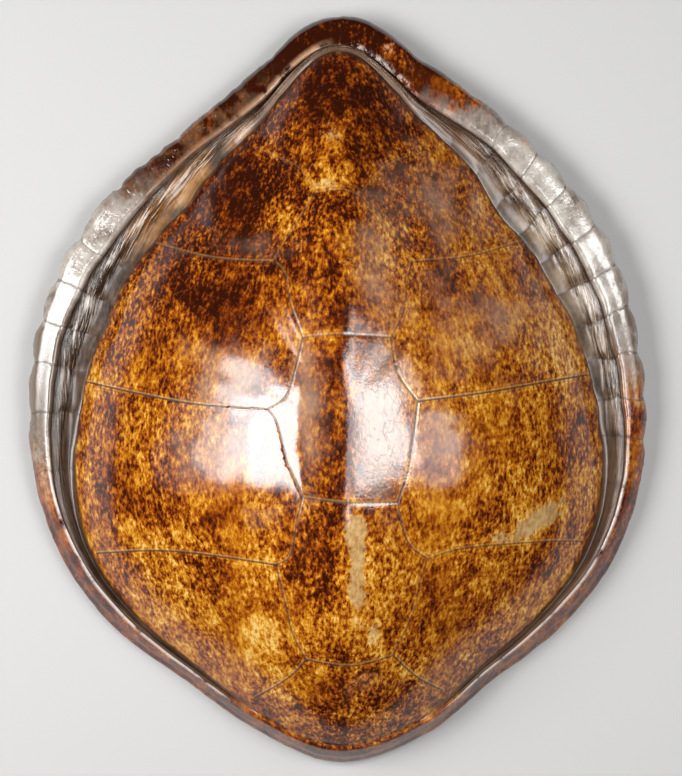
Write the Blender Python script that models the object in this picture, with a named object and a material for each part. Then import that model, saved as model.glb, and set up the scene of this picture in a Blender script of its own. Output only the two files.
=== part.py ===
"""Sea turtle carapace, dried and varnished, lying on its rim with the dome up.

Metres, +Z up. +Y runs towards the tail and +X to the right when the shell is seen from above
with the tail at the top. The carapace grew as one piece, so it is one closed solid: a domed
top, a rim whose tail half curls up into a gutter, a hollow underside with its ribs, and the
grooves between the scutes.

Every outline is a radius given by bearing around the dome's centre. Bearing 0 looks at the
tail, 90 at the right side, 180 at the head and -90 at the left side.
"""

import math

import bmesh
import bpy
from mathutils import Matrix, Vector

OBJECT = "sea_turtle_shell"
NODE = "carapace"

# Driving dimensions of the dome.
CROWN_HEIGHT = 0.150
CENTRE_Y = -0.024
WALL = 0.0055
ROOF_SLOPE = 0.14
KEEL_DRIFT, KEEL_DRIFTS_FROM, KEEL_DRIFTS_TO = 0.008, 0.180, 0.030
# The keel is a nearly flat strip over the backbone, which narrows towards the tail. Its edges are
# crisp in the middle of the shell and blunt at the tail.
KEEL_STRIP, STRIP_SLOPE = 0.036, 0.015
STRIP_NARROWS_FROM, STRIP_NARROWS_TO = 0.060, 0.180
KEEL_SHARP, KEEL_BLUNT = 0.0012, 0.008
FULLNESS = (1.9, 2.0, 2.25, 2.5, 2.6, 2.7, 2.8)

# Outline of the rim, every 15 degrees from the tail round to the head.
RIM_RIGHT = (0.339, 0.306, 0.286, 0.276, 0.270, 0.262, 0.261, 0.264, 0.265, 0.262, 0.262, 0.282, 0.295)
RIM_LEFT = (0.339, 0.296, 0.272, 0.269, 0.266, 0.264, 0.262, 0.264, 0.265, 0.263, 0.261, 0.276, 0.295)
# Width of the outer band, from the rim in to the crest, and of the gutter inside the crest.
BAND_RIGHT = (0.027, 0.031, 0.025, 0.028, 0.027, 0.022, 0.019, 0.017, 0.017, 0.017, 0.014, 0.015, 0.017)
BAND_LEFT = (0.027, 0.027, 0.021, 0.027, 0.025, 0.022, 0.019, 0.017, 0.017, 0.017, 0.014, 0.015, 0.017)
GUTTER_RIGHT = (0.006, 0.015, 0.025, 0.030, 0.029, 0.025, 0.021, 0.016, 0.010, 0.006, 0.005, 0.004, 0.004)
GUTTER_LEFT = (0.006, 0.014, 0.022, 0.027, 0.028, 0.028, 0.024, 0.017, 0.009, 0.006, 0.005, 0.004, 0.004)

# Dents in the outline of the dome's edge: bearing, half width in degrees, depth.
EDGE_DENTS = ((38.0, 7.0, 0.007), (57.0, 6.0, 0.002), (-36.0, 6.0, 0.003), (-68.0, 5.0, 0.003))

# Heights around the shell, every 30 degrees from the tail round to the head.
EDGE_HEIGHT = (0.040, 0.033, 0.028, 0.027, 0.029, 0.036, 0.050)
FLOOR_HEIGHT = (0.038, 0.021, 0.013, 0.014, 0.021, 0.029, 0.045)
CREST_HEIGHT = (0.039, 0.037, 0.036, 0.034, 0.031, 0.033, 0.046)
RIM_HEIGHT = (0.024, 0.027, 0.027, 0.020, 0.008, 0.007, 0.013)

# The underside leaves the ground towards the tail tip and over the neck.
TAIL_LIFT, TAIL_LIFT_FROM = 0.024, 55.0
HEAD_LIFT, HEAD_LIFT_FROM = 0.008, 155.0

# Notches between the marginal scutes. The lobes between them fade out towards the head.
NOTCHES_RIGHT = (0.0, 12.0, 22.5, 30.0, 37.5, 45.0, 53.5, 61.5, 69.5, 78.0, 86.5, 94.5, 104.0)
NOTCHES_LEFT = (0.0, 10.5, 20.5, 30.0, 37.0, 43.5, 55.5, 64.0, 72.0, 80.0, 89.5, 101.0)
LOBE, LOBE_ROUNDNESS = 0.0032, 0.85
LOBE_MIDDLE = 0.6
LOBES_FADE = (75.0, 110.0)

# Bearings between which the rim changes from curled up, at the tail, to sloping down, at the head.
CURL_FADES = (75.0, 125.0)
# The gutter's floor is filled a little where the rim curls up.
FLOOR_FILL = 0.003

# The underside's backbone ridge and ribs.
SPINE_RIDGE, SPINE_WIDTH = 0.006, 0.011
RIB_RIDGE, RIB_SPACING, RIB_SWEEP = 0.0025, 0.062, 0.20

# Mesh resolution: the centre patch is a square grid, and its edge carries on in rings.
PATCH_SIDE = 18
PATCH_SHARE = 0.56
DOME_RINGS = (0.64, 0.72, 0.79, 0.86, 0.925, 0.97, 1.0)
WELD = 0.00001
CREASE_ANGLE = math.radians(50.0)

# Scute grooves, as paths on the dome seen from above (x, y).
GROOVE_RADIUS = 0.0020
GROOVE_DEPTH = 0.0011
GROOVE_STEP = 0.012
GROOVES = {
    "vertebral_5_to_4": [(-0.019, 0.158), (0.004, 0.160), (0.018, 0.155)],
    "vertebral_4_to_3": [(-0.028, 0.040), (0.001, 0.042), (0.043, 0.040)],
    "vertebral_3_to_2": [(-0.028, -0.088), (0.005, -0.092), (0.048, -0.092)],
    "vertebral_2_to_1": [(-0.026, -0.222), (0.011, -0.227), (0.045, -0.219)],
    "left_beside_5": [(-0.019, 0.158), (-0.032, 0.179), (-0.048, 0.189), (-0.069, 0.200)],
    "left_above_4": [(-0.052, 0.102), (-0.041, 0.121), (-0.033, 0.133), (-0.019, 0.158)],
    "left_below_4": [(-0.052, 0.102), (-0.043, 0.091), (-0.038, 0.067), (-0.028, 0.040)],
    "left_above_3": [(-0.056, -0.017), (-0.041, -0.007), (-0.035, 0.011), (-0.028, 0.040)],
    "left_below_3": [(-0.056, -0.017), (-0.048, -0.029), (-0.040, -0.060), (-0.028, -0.088)],
    "left_above_2": [(-0.050, -0.143), (-0.038, -0.135), (-0.033, -0.109), (-0.028, -0.088)],
    "left_below_2": [(-0.050, -0.143), (-0.043, -0.173), (-0.037, -0.199), (-0.026, -0.222)],
    "left_before_1": [(-0.026, -0.222), (-0.041, -0.239), (-0.069, -0.259)],
    "right_beside_5": [(0.018, 0.155), (0.033, 0.175), (0.049, 0.187), (0.074, 0.196)],
    "right_above_4": [(0.060, 0.102), (0.053, 0.114), (0.035, 0.137), (0.018, 0.155)],
    "right_below_4": [(0.060, 0.102), (0.056, 0.083), (0.053, 0.061), (0.043, 0.040)],
    "right_above_3": [(0.064, -0.011), (0.051, 0.006), (0.045, 0.022), (0.043, 0.040)],
    "right_below_3": [(0.064, -0.011), (0.062, -0.029), (0.056, -0.067), (0.048, -0.092)],
    "right_above_2": [(0.073, -0.139), (0.058, -0.127), (0.051, -0.109), (0.048, -0.092)],
    "right_below_2": [(0.073, -0.139), (0.067, -0.155), (0.062, -0.181), (0.045, -0.219)],
    "right_before_1": [(0.045, -0.219), (0.065, -0.239), (0.088, -0.254)],
    "left_costal_4_to_3": [(-0.052, 0.102), (-0.084, 0.104), (-0.114, 0.109), (-0.160, 0.123)],
    "left_costal_3_to_2": [(-0.056, -0.017), (-0.112, -0.014), (-0.161, -0.006), (-0.214, 0.005)],
    "left_costal_2_to_1": [(-0.050, -0.143), (-0.113, -0.136), (-0.154, -0.135), (-0.204, -0.140)],
    "right_costal_4_to_3": [(0.060, 0.102), (0.096, 0.106), (0.122, 0.112), (0.154, 0.123)],
    "right_costal_3_to_2": [(0.064, -0.011), (0.115, -0.005), (0.176, 0.005), (0.213, 0.011)],
    "right_costal_2_to_1": [(0.073, -0.139), (0.103, -0.131), (0.167, -0.128), (0.207, -0.130)],
}

SHELL_COLOUR = (0.36, 0.15, 0.035, 1.0)


def clear_scene():
    for old in list(bpy.data.objects):
        bpy.data.objects.remove(old)


def make_collection(name):
    made = bpy.data.collections.new(name)
    bpy.context.scene.collection.children.link(made)
    return made


def varnished_shell_material():
    material = bpy.data.materials.new("varnished_shell")
    material.use_nodes = True
    shader = material.node_tree.nodes["Principled BSDF"]
    shader.inputs["Base Color"].default_value = SHELL_COLOUR
    shader.inputs["Roughness"].default_value = 0.30
    shader.inputs["Metallic"].default_value = 0.0
    shader.inputs["Coat Weight"].default_value = 0.8
    material.diffuse_color = SHELL_COLOUR
    return material


def mix(low, high, share):
    return low + (high - low) * share


def smooth_step(start, end, value):
    t = min(1.0, max(0.0, (value - start) / (end - start)))
    return t * t * (3.0 - 2.0 * t)


def catmull_rom(p0, p1, p2, p3, t):
    bend = 3.0 * (p1 - p2) + p3 - p0
    return p1 + 0.5 * t * (p2 - p0 + t * (2.0 * p0 - 5.0 * p1 + 4.0 * p2 - p3 + t * bend))


def around(right, left, bearing):
    """Smooth value at a bearing, from even control values down both sides, tail to head."""
    ring = list(right) + list(left[-2:0:-1])
    place = (bearing % 360.0) / 360.0 * len(ring)
    first = int(place)
    picked = [ring[(first + step) % len(ring)] for step in (-1, 0, 1, 2)]
    return catmull_rom(*picked, place - first)


def lobe(bearing):
    """Height of the scalloped rim at a bearing, from 0 in a notch to 1 on top of a lobe."""
    notches = NOTCHES_RIGHT if bearing >= 0.0 else NOTCHES_LEFT
    turn = abs(bearing)
    for start, end in zip(notches, notches[1:]):
        if start <= turn < end:
            return math.sin(math.pi * (turn - start) / (end - start)) ** LOBE_ROUNDNESS
    return 0.5


def lobe_strength(bearing):
    return 1.0 - smooth_step(*LOBES_FADE, abs(bearing))


def outlines(bearing):
    """Radius of the rim, of the crest and of the dome's edge at a bearing."""
    scallop = (lobe(bearing) - LOBE_MIDDLE) * lobe_strength(bearing) * LOBE
    rim = around(RIM_RIGHT, RIM_LEFT, bearing)
    crest = rim - around(BAND_RIGHT, BAND_LEFT, bearing)
    edge = crest - around(GUTTER_RIGHT, GUTTER_LEFT, bearing)
    for middle, half_width, depth in EDGE_DENTS:
        edge -= depth * math.exp(-(((bearing - middle) / half_width) ** 2))
    return rim + scallop, crest + 0.4 * scallop, edge


def height(values, bearing):
    return around(values, values, bearing)


def lift(bearing):
    """Height of the underside of the rim: 0 where the shell rests on the ground."""
    turn = abs(bearing)
    tail = TAIL_LIFT * smooth_step(TAIL_LIFT_FROM, 0.0, turn)
    head = HEAD_LIFT * smooth_step(HEAD_LIFT_FROM, 180.0, turn)
    return tail + head


def hinge(distance, rounding):
    """0 on one side of a line and the distance on the other, with a rounded bend between."""
    return 0.5 * (math.hypot(distance, rounding) + distance - rounding)


def roof_drop(x, y):
    """How far the slopes on both sides of the keel strip lie below the keel line."""
    keel = KEEL_DRIFT * smooth_step(KEEL_DRIFTS_FROM, KEEL_DRIFTS_TO, y)
    strip = KEEL_STRIP * smooth_step(STRIP_NARROWS_TO, STRIP_NARROWS_FROM, y)
    rounding = mix(KEEL_SHARP, KEEL_BLUNT, smooth_step(0.01, 0.10, y))
    right = hinge(x - keel, rounding)
    left = hinge(keel - strip - x, rounding)
    return ROOF_SLOPE * (right + left) + STRIP_SLOPE * hinge(keel - x, rounding)


def dome_height(x, y):
    """Height of the dome's outer surface above the ground at a place seen from above."""
    north = y - CENTRE_Y
    bearing = math.degrees(math.atan2(x, north))
    share = min(1.0, math.hypot(x, north) / outlines(bearing)[2])
    edge = height(EDGE_HEIGHT, bearing)
    bulge = 1.0 - share ** height(FULLNESS, bearing)
    return edge + (CROWN_HEIGHT - edge) * bulge - roof_drop(x, y) * (1.0 - share * share)


def place(radius, bearing, z):
    turn = math.radians(bearing)
    return Vector((radius * math.sin(turn), CENTRE_Y + radius * math.cos(turn), z))


def dome_point(share, bearing):
    spot = place(share * outlines(bearing)[2], bearing, 0.0)
    spot.z = dome_height(spot.x, spot.y)
    return spot


def rib_relief(x, y):
    """Extra thickness under the dome: the backbone's ridge and the ribs on both sides of it."""
    spine = SPINE_RIDGE * math.exp(-((x / SPINE_WIDTH) ** 2))
    along = (y - CENTRE_Y - RIB_SWEEP * (y - CENTRE_Y) * abs(x) / 0.2) / RIB_SPACING
    rib = RIB_RIDGE * (0.5 + 0.5 * math.cos(2.0 * math.pi * along)) * smooth_step(0.0, 0.03, abs(x))
    return spine + rib


def under_point(share, bearing):
    """Point of the hollow underside, one wall thickness below the dome, square to its slope."""
    reach = share * (outlines(bearing)[2] - WALL)
    spot = place(reach, bearing, 0.0)
    step = 0.001
    rise_x = (dome_height(spot.x + step, spot.y) - dome_height(spot.x - step, spot.y)) / (2 * step)
    rise_y = (dome_height(spot.x, spot.y + step) - dome_height(spot.x, spot.y - step)) / (2 * step)
    thickness = WALL * math.sqrt(1.0 + rise_x**2 + rise_y**2)
    relief = rib_relief(spot.x, spot.y) * (1.0 - share**4)
    spot.z = dome_height(spot.x, spot.y) - thickness - relief
    return spot


def rim_section(bearing):
    """Stations of the rim's section from the gutter's foot, over the crest, to the inner wall."""
    rim, crest, edge = outlines(bearing)
    gutter = crest - edge
    curled = 1.0 - smooth_step(*CURL_FADES, abs(bearing))
    edge_z = height(EDGE_HEIGHT, bearing)
    floor_z = height(FLOOR_HEIGHT, bearing) + FLOOR_FILL * curled
    crest_z = height(CREST_HEIGHT, bearing)
    rim_z = height(RIM_HEIGHT, bearing)
    ground = lift(bearing)
    fall = crest_z - rim_z
    gutter_foot = (edge + mix(0.16, 0.03, curled) * gutter, mix(floor_z, edge_z, mix(0.35, 0.05, curled)))
    gutter_floor = (edge + mix(0.38, 0.24, curled) * gutter, floor_z)
    gutter_rise = (edge + mix(0.68, 0.62, curled) * gutter, mix(floor_z, crest_z, 0.36))
    crease = (crest - 0.001, crest_z - 0.0015 - 0.006 * curled)
    crest_line = (crest + 0.0015, crest_z)
    band_middle = (mix(crest, rim, 0.52), crest_z - mix(0.34, 0.15, curled) * fall)
    band_shoulder = (rim - 0.004, rim_z + mix(0.30, 0.68, curled) * fall)
    outermost = (rim, rim_z)
    turned_under = (rim - mix(0.0015, 0.005, curled), mix(ground, rim_z - 0.005, curled))
    under_band = (mix(rim - 0.006, crest - 0.003, curled), mix(ground, crest_z - 0.014, curled))
    land_outside = (mix(rim - 0.011, edge + 0.66 * gutter, curled), ground)
    land_inside = (mix(rim - 0.017, edge + 0.22 * gutter, curled), ground)
    return [
        gutter_foot,
        gutter_floor,
        gutter_rise,
        crease,
        crest_line,
        band_middle,
        band_shoulder,
        outermost,
        turned_under,
        under_band,
        land_outside,
        land_inside,
    ]


def disc_place(u, v):
    """Share of the radius and bearing for a place on a square grid that is pulled into a disc."""
    if u == 0.0 and v == 0.0:
        return 0.0, 0.0
    if abs(u) > abs(v):
        share, bearing = abs(u), 90.0 - 45.0 * v / u
        return share, bearing if u > 0.0 else bearing - 180.0
    share, bearing = abs(v), 45.0 * u / v
    if v > 0.0:
        return share, bearing
    return share, bearing - 180.0 if bearing > 0.0 else bearing + 180.0


def add_patch(bm, bearings, surface):
    """Square grid pulled into a disc on a surface. Returns the edges of its border."""
    grid = bmesh.ops.create_grid(bm, x_segments=PATCH_SIDE, y_segments=PATCH_SIDE, size=1.0)
    for vert in grid["verts"]:
        share, bearing = disc_place(vert.co.x, vert.co.y)
        vert[bearings] = bearing
        vert.co = surface(share * PATCH_SHARE, bearing)
    faces = {face for vert in grid["verts"] for face in vert.link_faces}
    return [edge for face in faces for edge in face.edges if edge.is_boundary]


def add_ring(bm, border, bearings, spot):
    """Extrude the border and put each new point where spot(bearing) says. Returns the new border."""
    made = bmesh.ops.extrude_edge_only(bm, edges=border)["geom"]
    ring = [item for item in made if isinstance(item, bmesh.types.BMVert)]
    for vert in ring:
        vert.co = spot(vert[bearings])
    on_ring = set(ring)
    return [
        item
        for item in made
        if isinstance(item, bmesh.types.BMEdge) and on_ring.issuperset(item.verts)
    ]


def split_border(bm, border, bearings, spot):
    """Cut each edge of the border in two, for the finer rim. Returns the new border."""
    known = {vert for edge in border for vert in edge.verts}
    made = bmesh.ops.subdivide_edges(bm, edges=border, cuts=1)["geom_split"]
    added = {item for item in made if isinstance(item, bmesh.types.BMVert)} - known
    halves = {edge for vert in added for edge in vert.link_edges if edge.is_boundary}
    for vert in added:
        start, end = [edge.other_vert(vert)[bearings] for edge in vert.link_edges if edge in halves]
        turn = (end - start + 180.0) % 360.0 - 180.0
        vert[bearings] = (start + 0.5 * turn + 180.0) % 360.0 - 180.0
        vert.co = spot(vert[bearings])
    return list(halves)


def add_surface(bm, bearings, surface):
    """Patch and rings out to the edge of the dome or of the hollow, whose border is then split."""
    border = add_patch(bm, bearings, surface)
    for share in DOME_RINGS:
        border = add_ring(bm, border, bearings, lambda bearing: surface(share, bearing))
    return split_border(bm, border, bearings, lambda bearing: surface(1.0, bearing))


def station_point(station, bearing):
    radius, z = rim_section(bearing)[station]
    return place(radius, bearing, z)


def build_shell(material, collection):
    """Hollow, then the rim from inside out, then the dome, welded where the rim meets it."""
    bm = bmesh.new()
    bearings = bm.verts.layers.float.new("bearing")
    border = add_surface(bm, bearings, under_point)
    for station in reversed(range(len(rim_section(0.0)))):
        border = add_ring(bm, border, bearings, lambda bearing: station_point(station, bearing))
    add_ring(bm, border, bearings, lambda bearing: dome_point(1.0, bearing))
    add_surface(bm, bearings, dome_point)
    open_verts = [vert for vert in bm.verts if vert.is_boundary]
    bmesh.ops.remove_doubles(bm, verts=open_verts, dist=WELD)
    bmesh.ops.recalc_face_normals(bm, faces=bm.faces)
    mesh = bpy.data.meshes.new(NODE)
    bm.to_mesh(mesh)
    bm.free()
    mesh.shade_smooth()
    mesh.set_sharp_from_angle(angle=CREASE_ANGLE)
    mesh.materials.append(material)
    shell = bpy.data.objects.new(NODE, mesh)
    collection.objects.link(shell)
    return shell


def smooth_path(points):
    """Points every GROOVE_STEP or so along a smooth curve through the control points."""
    ends = [points[0]] + list(points) + [points[-1]]
    path = []
    for p0, p1, p2, p3 in zip(ends, ends[1:], ends[2:], ends[3:]):
        steps = max(1, round(math.dist(p1, p2) / GROOVE_STEP))
        for step in range(steps):
            path.append([catmull_rom(*values, step / steps) for values in zip(p0, p1, p2, p3)])
    return path + [list(points[-1])]


def groove_guide(name, points):
    """Curve with a thin round section along the dome, sunk into it by the depth of a groove."""
    curve = bpy.data.curves.new(name, "CURVE")
    curve.dimensions = "3D"
    curve.bevel_depth = GROOVE_RADIUS
    curve.bevel_resolution = 0
    curve.use_fill_caps = True
    path = smooth_path(points)
    spline = curve.splines.new("POLY")
    spline.points.add(len(path) - 1)
    for point, (x, y) in zip(spline.points, path):
        point.co = (x, y, dome_height(x, y) + GROOVE_RADIUS - GROOVE_DEPTH, 1.0)
    guide = bpy.data.objects.new(name + "_guide", curve)
    bpy.context.scene.collection.objects.link(guide)
    return guide


def groove_cutter(name, points, collection):
    """Closed tube made from a groove's guide curve."""
    guide = groove_guide(name, points)
    graph = bpy.context.evaluated_depsgraph_get()
    mesh = bpy.data.meshes.new_from_object(guide.evaluated_get(graph))
    bpy.data.objects.remove(guide)
    bm = bmesh.new()
    bm.from_mesh(mesh)
    bmesh.ops.remove_doubles(bm, verts=bm.verts, dist=WELD)
    bmesh.ops.recalc_face_normals(bm, faces=bm.faces)
    bm.to_mesh(mesh)
    bm.free()
    cutter = bpy.data.objects.new(name, mesh)
    cutter.hide_render = True
    cutter.display_type = "WIRE"
    collection.objects.link(cutter)
    return cutter


def cut_grooves(shell, cutters):
    cut = shell.modifiers.new("scute_grooves", "BOOLEAN")
    cut.operation = "DIFFERENCE"
    cut.operand_type = "COLLECTION"
    cut.collection = cutters
    cut.solver = "EXACT"


def centre_on_origin(shell, cutters):
    """Put the middle of the shell's outline over the origin, with its lowest face on the ground."""
    corners = [vert.co for vert in shell.data.vertices]
    low = [min(corner[axis] for corner in corners) for axis in range(3)]
    high = [max(corner[axis] for corner in corners) for axis in range(3)]
    middle = Vector(((low[0] + high[0]) / 2, (low[1] + high[1]) / 2, low[2]))
    for item in [shell, *cutters]:
        item.data.transform(Matrix.Translation(-middle))
    print("size", [round(top - bottom, 4) for bottom, top in zip(low, high)], "moved by", -middle)


def main():
    clear_scene()
    parts = make_collection(OBJECT)
    cutters = make_collection("groove_cutters")
    shell = build_shell(varnished_shell_material(), parts)
    tubes = [groove_cutter(name, points, cutters) for name, points in GROOVES.items()]
    centre_on_origin(shell, tubes)
    cut_grooves(shell, cutters)


main()
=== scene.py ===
# %% [markdown]
# # A varnished sea turtle shell
#
# The object is the upper shell, or carapace, of a sea turtle, dried and varnished. It grew as one
# piece, so it is modelled as one closed mesh: a domed top, a rim whose tail half curls up into a
# gutter, and a hollow underside with its backbone and ribs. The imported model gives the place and
# the size. Every length is in metres, +Z is up and +Y runs towards the tail.

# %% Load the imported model
import functools
import math

import bmesh
import bpy
from mathutils import Matrix, Vector, kdtree, noise


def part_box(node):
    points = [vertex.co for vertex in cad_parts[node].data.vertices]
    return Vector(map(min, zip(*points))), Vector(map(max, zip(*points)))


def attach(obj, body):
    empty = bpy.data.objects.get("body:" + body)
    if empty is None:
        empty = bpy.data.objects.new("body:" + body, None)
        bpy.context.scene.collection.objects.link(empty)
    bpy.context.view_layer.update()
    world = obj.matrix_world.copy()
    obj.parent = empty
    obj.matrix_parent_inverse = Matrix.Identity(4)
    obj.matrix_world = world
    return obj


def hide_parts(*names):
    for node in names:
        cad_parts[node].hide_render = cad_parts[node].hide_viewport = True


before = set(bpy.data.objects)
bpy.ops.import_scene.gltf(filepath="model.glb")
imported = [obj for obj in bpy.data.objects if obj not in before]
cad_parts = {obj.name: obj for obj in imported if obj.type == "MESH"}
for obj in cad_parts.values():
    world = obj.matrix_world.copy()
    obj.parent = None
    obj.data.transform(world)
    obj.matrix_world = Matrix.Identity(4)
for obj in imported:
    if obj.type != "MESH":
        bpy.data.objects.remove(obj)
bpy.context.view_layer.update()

# %% [markdown]
# ## The driving sizes
#
# A shell seen from above is close to a set of rounded outlines, one inside the other: the rim, the
# crest of the curled rim, and the edge of the dome. Each is easiest to hold as a radius at even
# bearings round the dome's centre. Bearing 0 looks at the tail, 90 at the right side, 180 at the
# head and -90 at the left side. These are the values that the solid model uses.

# %% Sizes of the dome
CROWN_HEIGHT = 0.150
CENTRE_Y = -0.024
MEAN_RADIUS = 0.27
WALL = 0.0055
ROOF_SLOPE = 0.14
KEEL_DRIFT, KEEL_DRIFTS_FROM, KEEL_DRIFTS_TO = 0.008, 0.180, 0.030
KEEL_STRIP, STRIP_SLOPE = 0.036, 0.015
STRIP_NARROWS_FROM, STRIP_NARROWS_TO = 0.060, 0.180
KEEL_SHARP, KEEL_BLUNT, KEEL_BLUNTS = 0.0012, 0.008, (0.01, 0.10)
FULLNESS = (1.9, 2.0, 2.25, 2.5, 2.6, 2.7, 2.8)
# Dents in the outline of the dome's edge: bearing, half width in degrees, depth.
EDGE_DENTS = ((38.0, 7.0, 0.007), (57.0, 6.0, 0.002), (-36.0, 6.0, 0.003), (-68.0, 5.0, 0.003))

# %% Outlines of the rim, every 15 degrees from the tail round to the head
RIM_RIGHT = (0.339, 0.306, 0.286, 0.276, 0.270, 0.262, 0.261, 0.264, 0.265, 0.262, 0.262, 0.282, 0.295)
RIM_LEFT = (0.339, 0.296, 0.272, 0.269, 0.266, 0.264, 0.262, 0.264, 0.265, 0.263, 0.261, 0.276, 0.295)
BAND_RIGHT = (0.027, 0.031, 0.025, 0.028, 0.027, 0.022, 0.019, 0.017, 0.017, 0.017, 0.014, 0.015, 0.017)
BAND_LEFT = (0.027, 0.027, 0.021, 0.027, 0.025, 0.022, 0.019, 0.017, 0.017, 0.017, 0.014, 0.015, 0.017)
GUTTER_RIGHT = (0.006, 0.015, 0.025, 0.030, 0.029, 0.025, 0.021, 0.016, 0.010, 0.006, 0.005, 0.004, 0.004)
GUTTER_LEFT = (0.006, 0.014, 0.022, 0.027, 0.028, 0.028, 0.024, 0.017, 0.009, 0.006, 0.005, 0.004, 0.004)

# %% Heights round the shell, every 30 degrees from the tail round to the head
EDGE_HEIGHT = (0.040, 0.033, 0.028, 0.027, 0.029, 0.036, 0.050)
FLOOR_HEIGHT = (0.038, 0.021, 0.013, 0.014, 0.021, 0.029, 0.045)
CREST_HEIGHT = (0.039, 0.037, 0.036, 0.034, 0.031, 0.033, 0.046)
RIM_HEIGHT = (0.024, 0.027, 0.027, 0.020, 0.008, 0.007, 0.013)
TAIL_LIFT, TAIL_LIFT_FROM = 0.024, 55.0
HEAD_LIFT, HEAD_LIFT_FROM = 0.008, 155.0
# Bearings between which the rim changes from curled up to sloping down.
CURL_FADES = (75.0, 125.0)

# %% Notches between the rim's scutes, as bearings
NOTCHES_RIGHT = (0.0, 12.0, 22.5, 30.0, 37.5, 45.0, 53.5, 61.5, 69.5, 78.0, 86.5, 94.5, 104.0)
NOTCHES_LEFT = (0.0, 10.5, 20.5, 30.0, 37.0, 43.5, 55.5, 64.0, 72.0, 80.0, 89.5, 101.0)
LOBE, LOBE_ROUNDNESS, LOBE_MIDDLE = 0.0040, 0.85, 0.6
LOBES_FADE = (110.0, 75.0)

# %% [markdown]
# ## Smooth values round the outline
#
# A Catmull-Rom curve passes through every control value and bends smoothly between them, so it
# turns the short lists above into a smooth outline. It is used for radii, for heights and for the
# section of the rim.

# %% Helpers for smooth values
def mix(low, high, share):
    return low + (high - low) * share


def smooth_step(start, end, value):
    t = min(1.0, max(0.0, (value - start) / (end - start)))
    return t * t * (3.0 - 2.0 * t)


def window(value, start, full, fade, end):
    """1 between full and fade, 0 outside start and end, and smooth on the way."""
    return smooth_step(start, full, value) * smooth_step(end, fade, value)


def hump(distance, width):
    """Bell curve: 1 at distance 0, and nearly 0 from twice the width on."""
    return math.exp(-((distance / width) ** 2))


def catmull_rom(p0, p1, p2, p3, t):
    bend = 3.0 * (p1 - p2) + p3 - p0
    return p1 + 0.5 * t * (p2 - p0 + t * (2.0 * p0 - 5.0 * p1 + 4.0 * p2 - p3 + t * bend))


@functools.cache
def closed_ring(right, left):
    """Control values all the way round, with the first and the last few repeated."""
    ring = right + left[-2:0:-1]
    return ring[-1:] + ring + ring[:2]


def around(right, left, bearing):
    """Smooth value at a bearing, from even control values down both sides, tail to head."""
    ring = closed_ring(right, left)
    spot = (bearing % 360.0) / 360.0 * (len(ring) - 3)
    first = int(spot)
    return catmull_rom(*ring[first : first + 4], spot - first)


def height(values, bearing):
    return around(values, values, bearing)


# %% [markdown]
# ## The rim's outline
#
# The rim is scalloped, because it is made of a row of small scutes, the marginals, with a notch
# where two of them meet. The lobes fade out towards the head. A real rim is also chipped and
# worn, most of all at the left of the tail, so a little noise along the outline is added to the
# smooth radius. The crest and the dome's edge wander too, as horn does where it grew unevenly.

# %% Outlines at a bearing
RIM_WEAR, WEAR_CELLS, FINE_WEAR_CELLS = 0.0009, 75.0, 200.0
HEAD_WEAR, HEAD_WEAR_FADES = 0.45, (95.0, 125.0)
CHIPS, CHIP_CELLS, CHIPPED = 0.0034, 110.0, (-60.0, -45.0, -15.0, -5.0)
NEAR_TAIL, TAIL_LOBES = (-62.0, -50.0, 22.0, 36.0), 0.6
EDGE_WANDER, EDGE_CELLS, FINE_EDGE_CELLS = 0.0012, 40.0, 110.0
CREST_WANDER, CREST_CELLS = 0.0016, 34.0
WANDER_STARTS, HEAD_WANDER = (2.0, 12.0), 0.3


def lobe(bearing):
    """Height of the scalloped rim at a bearing, from 0 in a notch to 1 on top of a lobe."""
    notches = NOTCHES_RIGHT if bearing >= 0.0 else NOTCHES_LEFT
    turn = abs(bearing)
    for start, end in zip(notches, notches[1:]):
        if start <= turn < end:
            return math.sin(math.pi * (turn - start) / (end - start)) ** LOBE_ROUNDNESS
    return 0.5


def ring_noise(bearing, cells_per_metre, layer):
    """Smooth noise along the outline, from about -1 to 1."""
    turn = math.radians(bearing)
    reach = MEAN_RADIUS * cells_per_metre
    return noise.noise(Vector((reach * math.sin(turn), reach * math.cos(turn), layer)))


def rim_wear(bearing):
    """Small waves along the rim, and chips at the left of the tail."""
    waves = ring_noise(bearing, WEAR_CELLS, 0.0) + 0.7 * ring_noise(bearing, FINE_WEAR_CELLS, 1.0)
    waves *= RIM_WEAR * mix(1.0, HEAD_WEAR, smooth_step(*HEAD_WEAR_FADES, abs(bearing)))
    chips = window(bearing, *CHIPPED) * max(0.0, ring_noise(bearing, CHIP_CELLS, 2.0))
    return waves - CHIPS * chips


def near_tail(bearing):
    """1 on the part of the rim that meets at the tail, where the lobes and seams are worn."""
    return window(bearing, *NEAR_TAIL)


def curl(bearing):
    """1 where the rim curls up, and 0 where it slopes down."""
    return 1.0 - smooth_step(*CURL_FADES, abs(bearing))


def scallop(bearing):
    """How far a lobe stands out of the rim's even outline, or a notch cuts into it."""
    strength = smooth_step(*LOBES_FADE, abs(bearing)) * mix(1.0, TAIL_LOBES, near_tail(bearing))
    return (lobe(bearing) - LOBE_MIDDLE) * LOBE * strength


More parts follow.
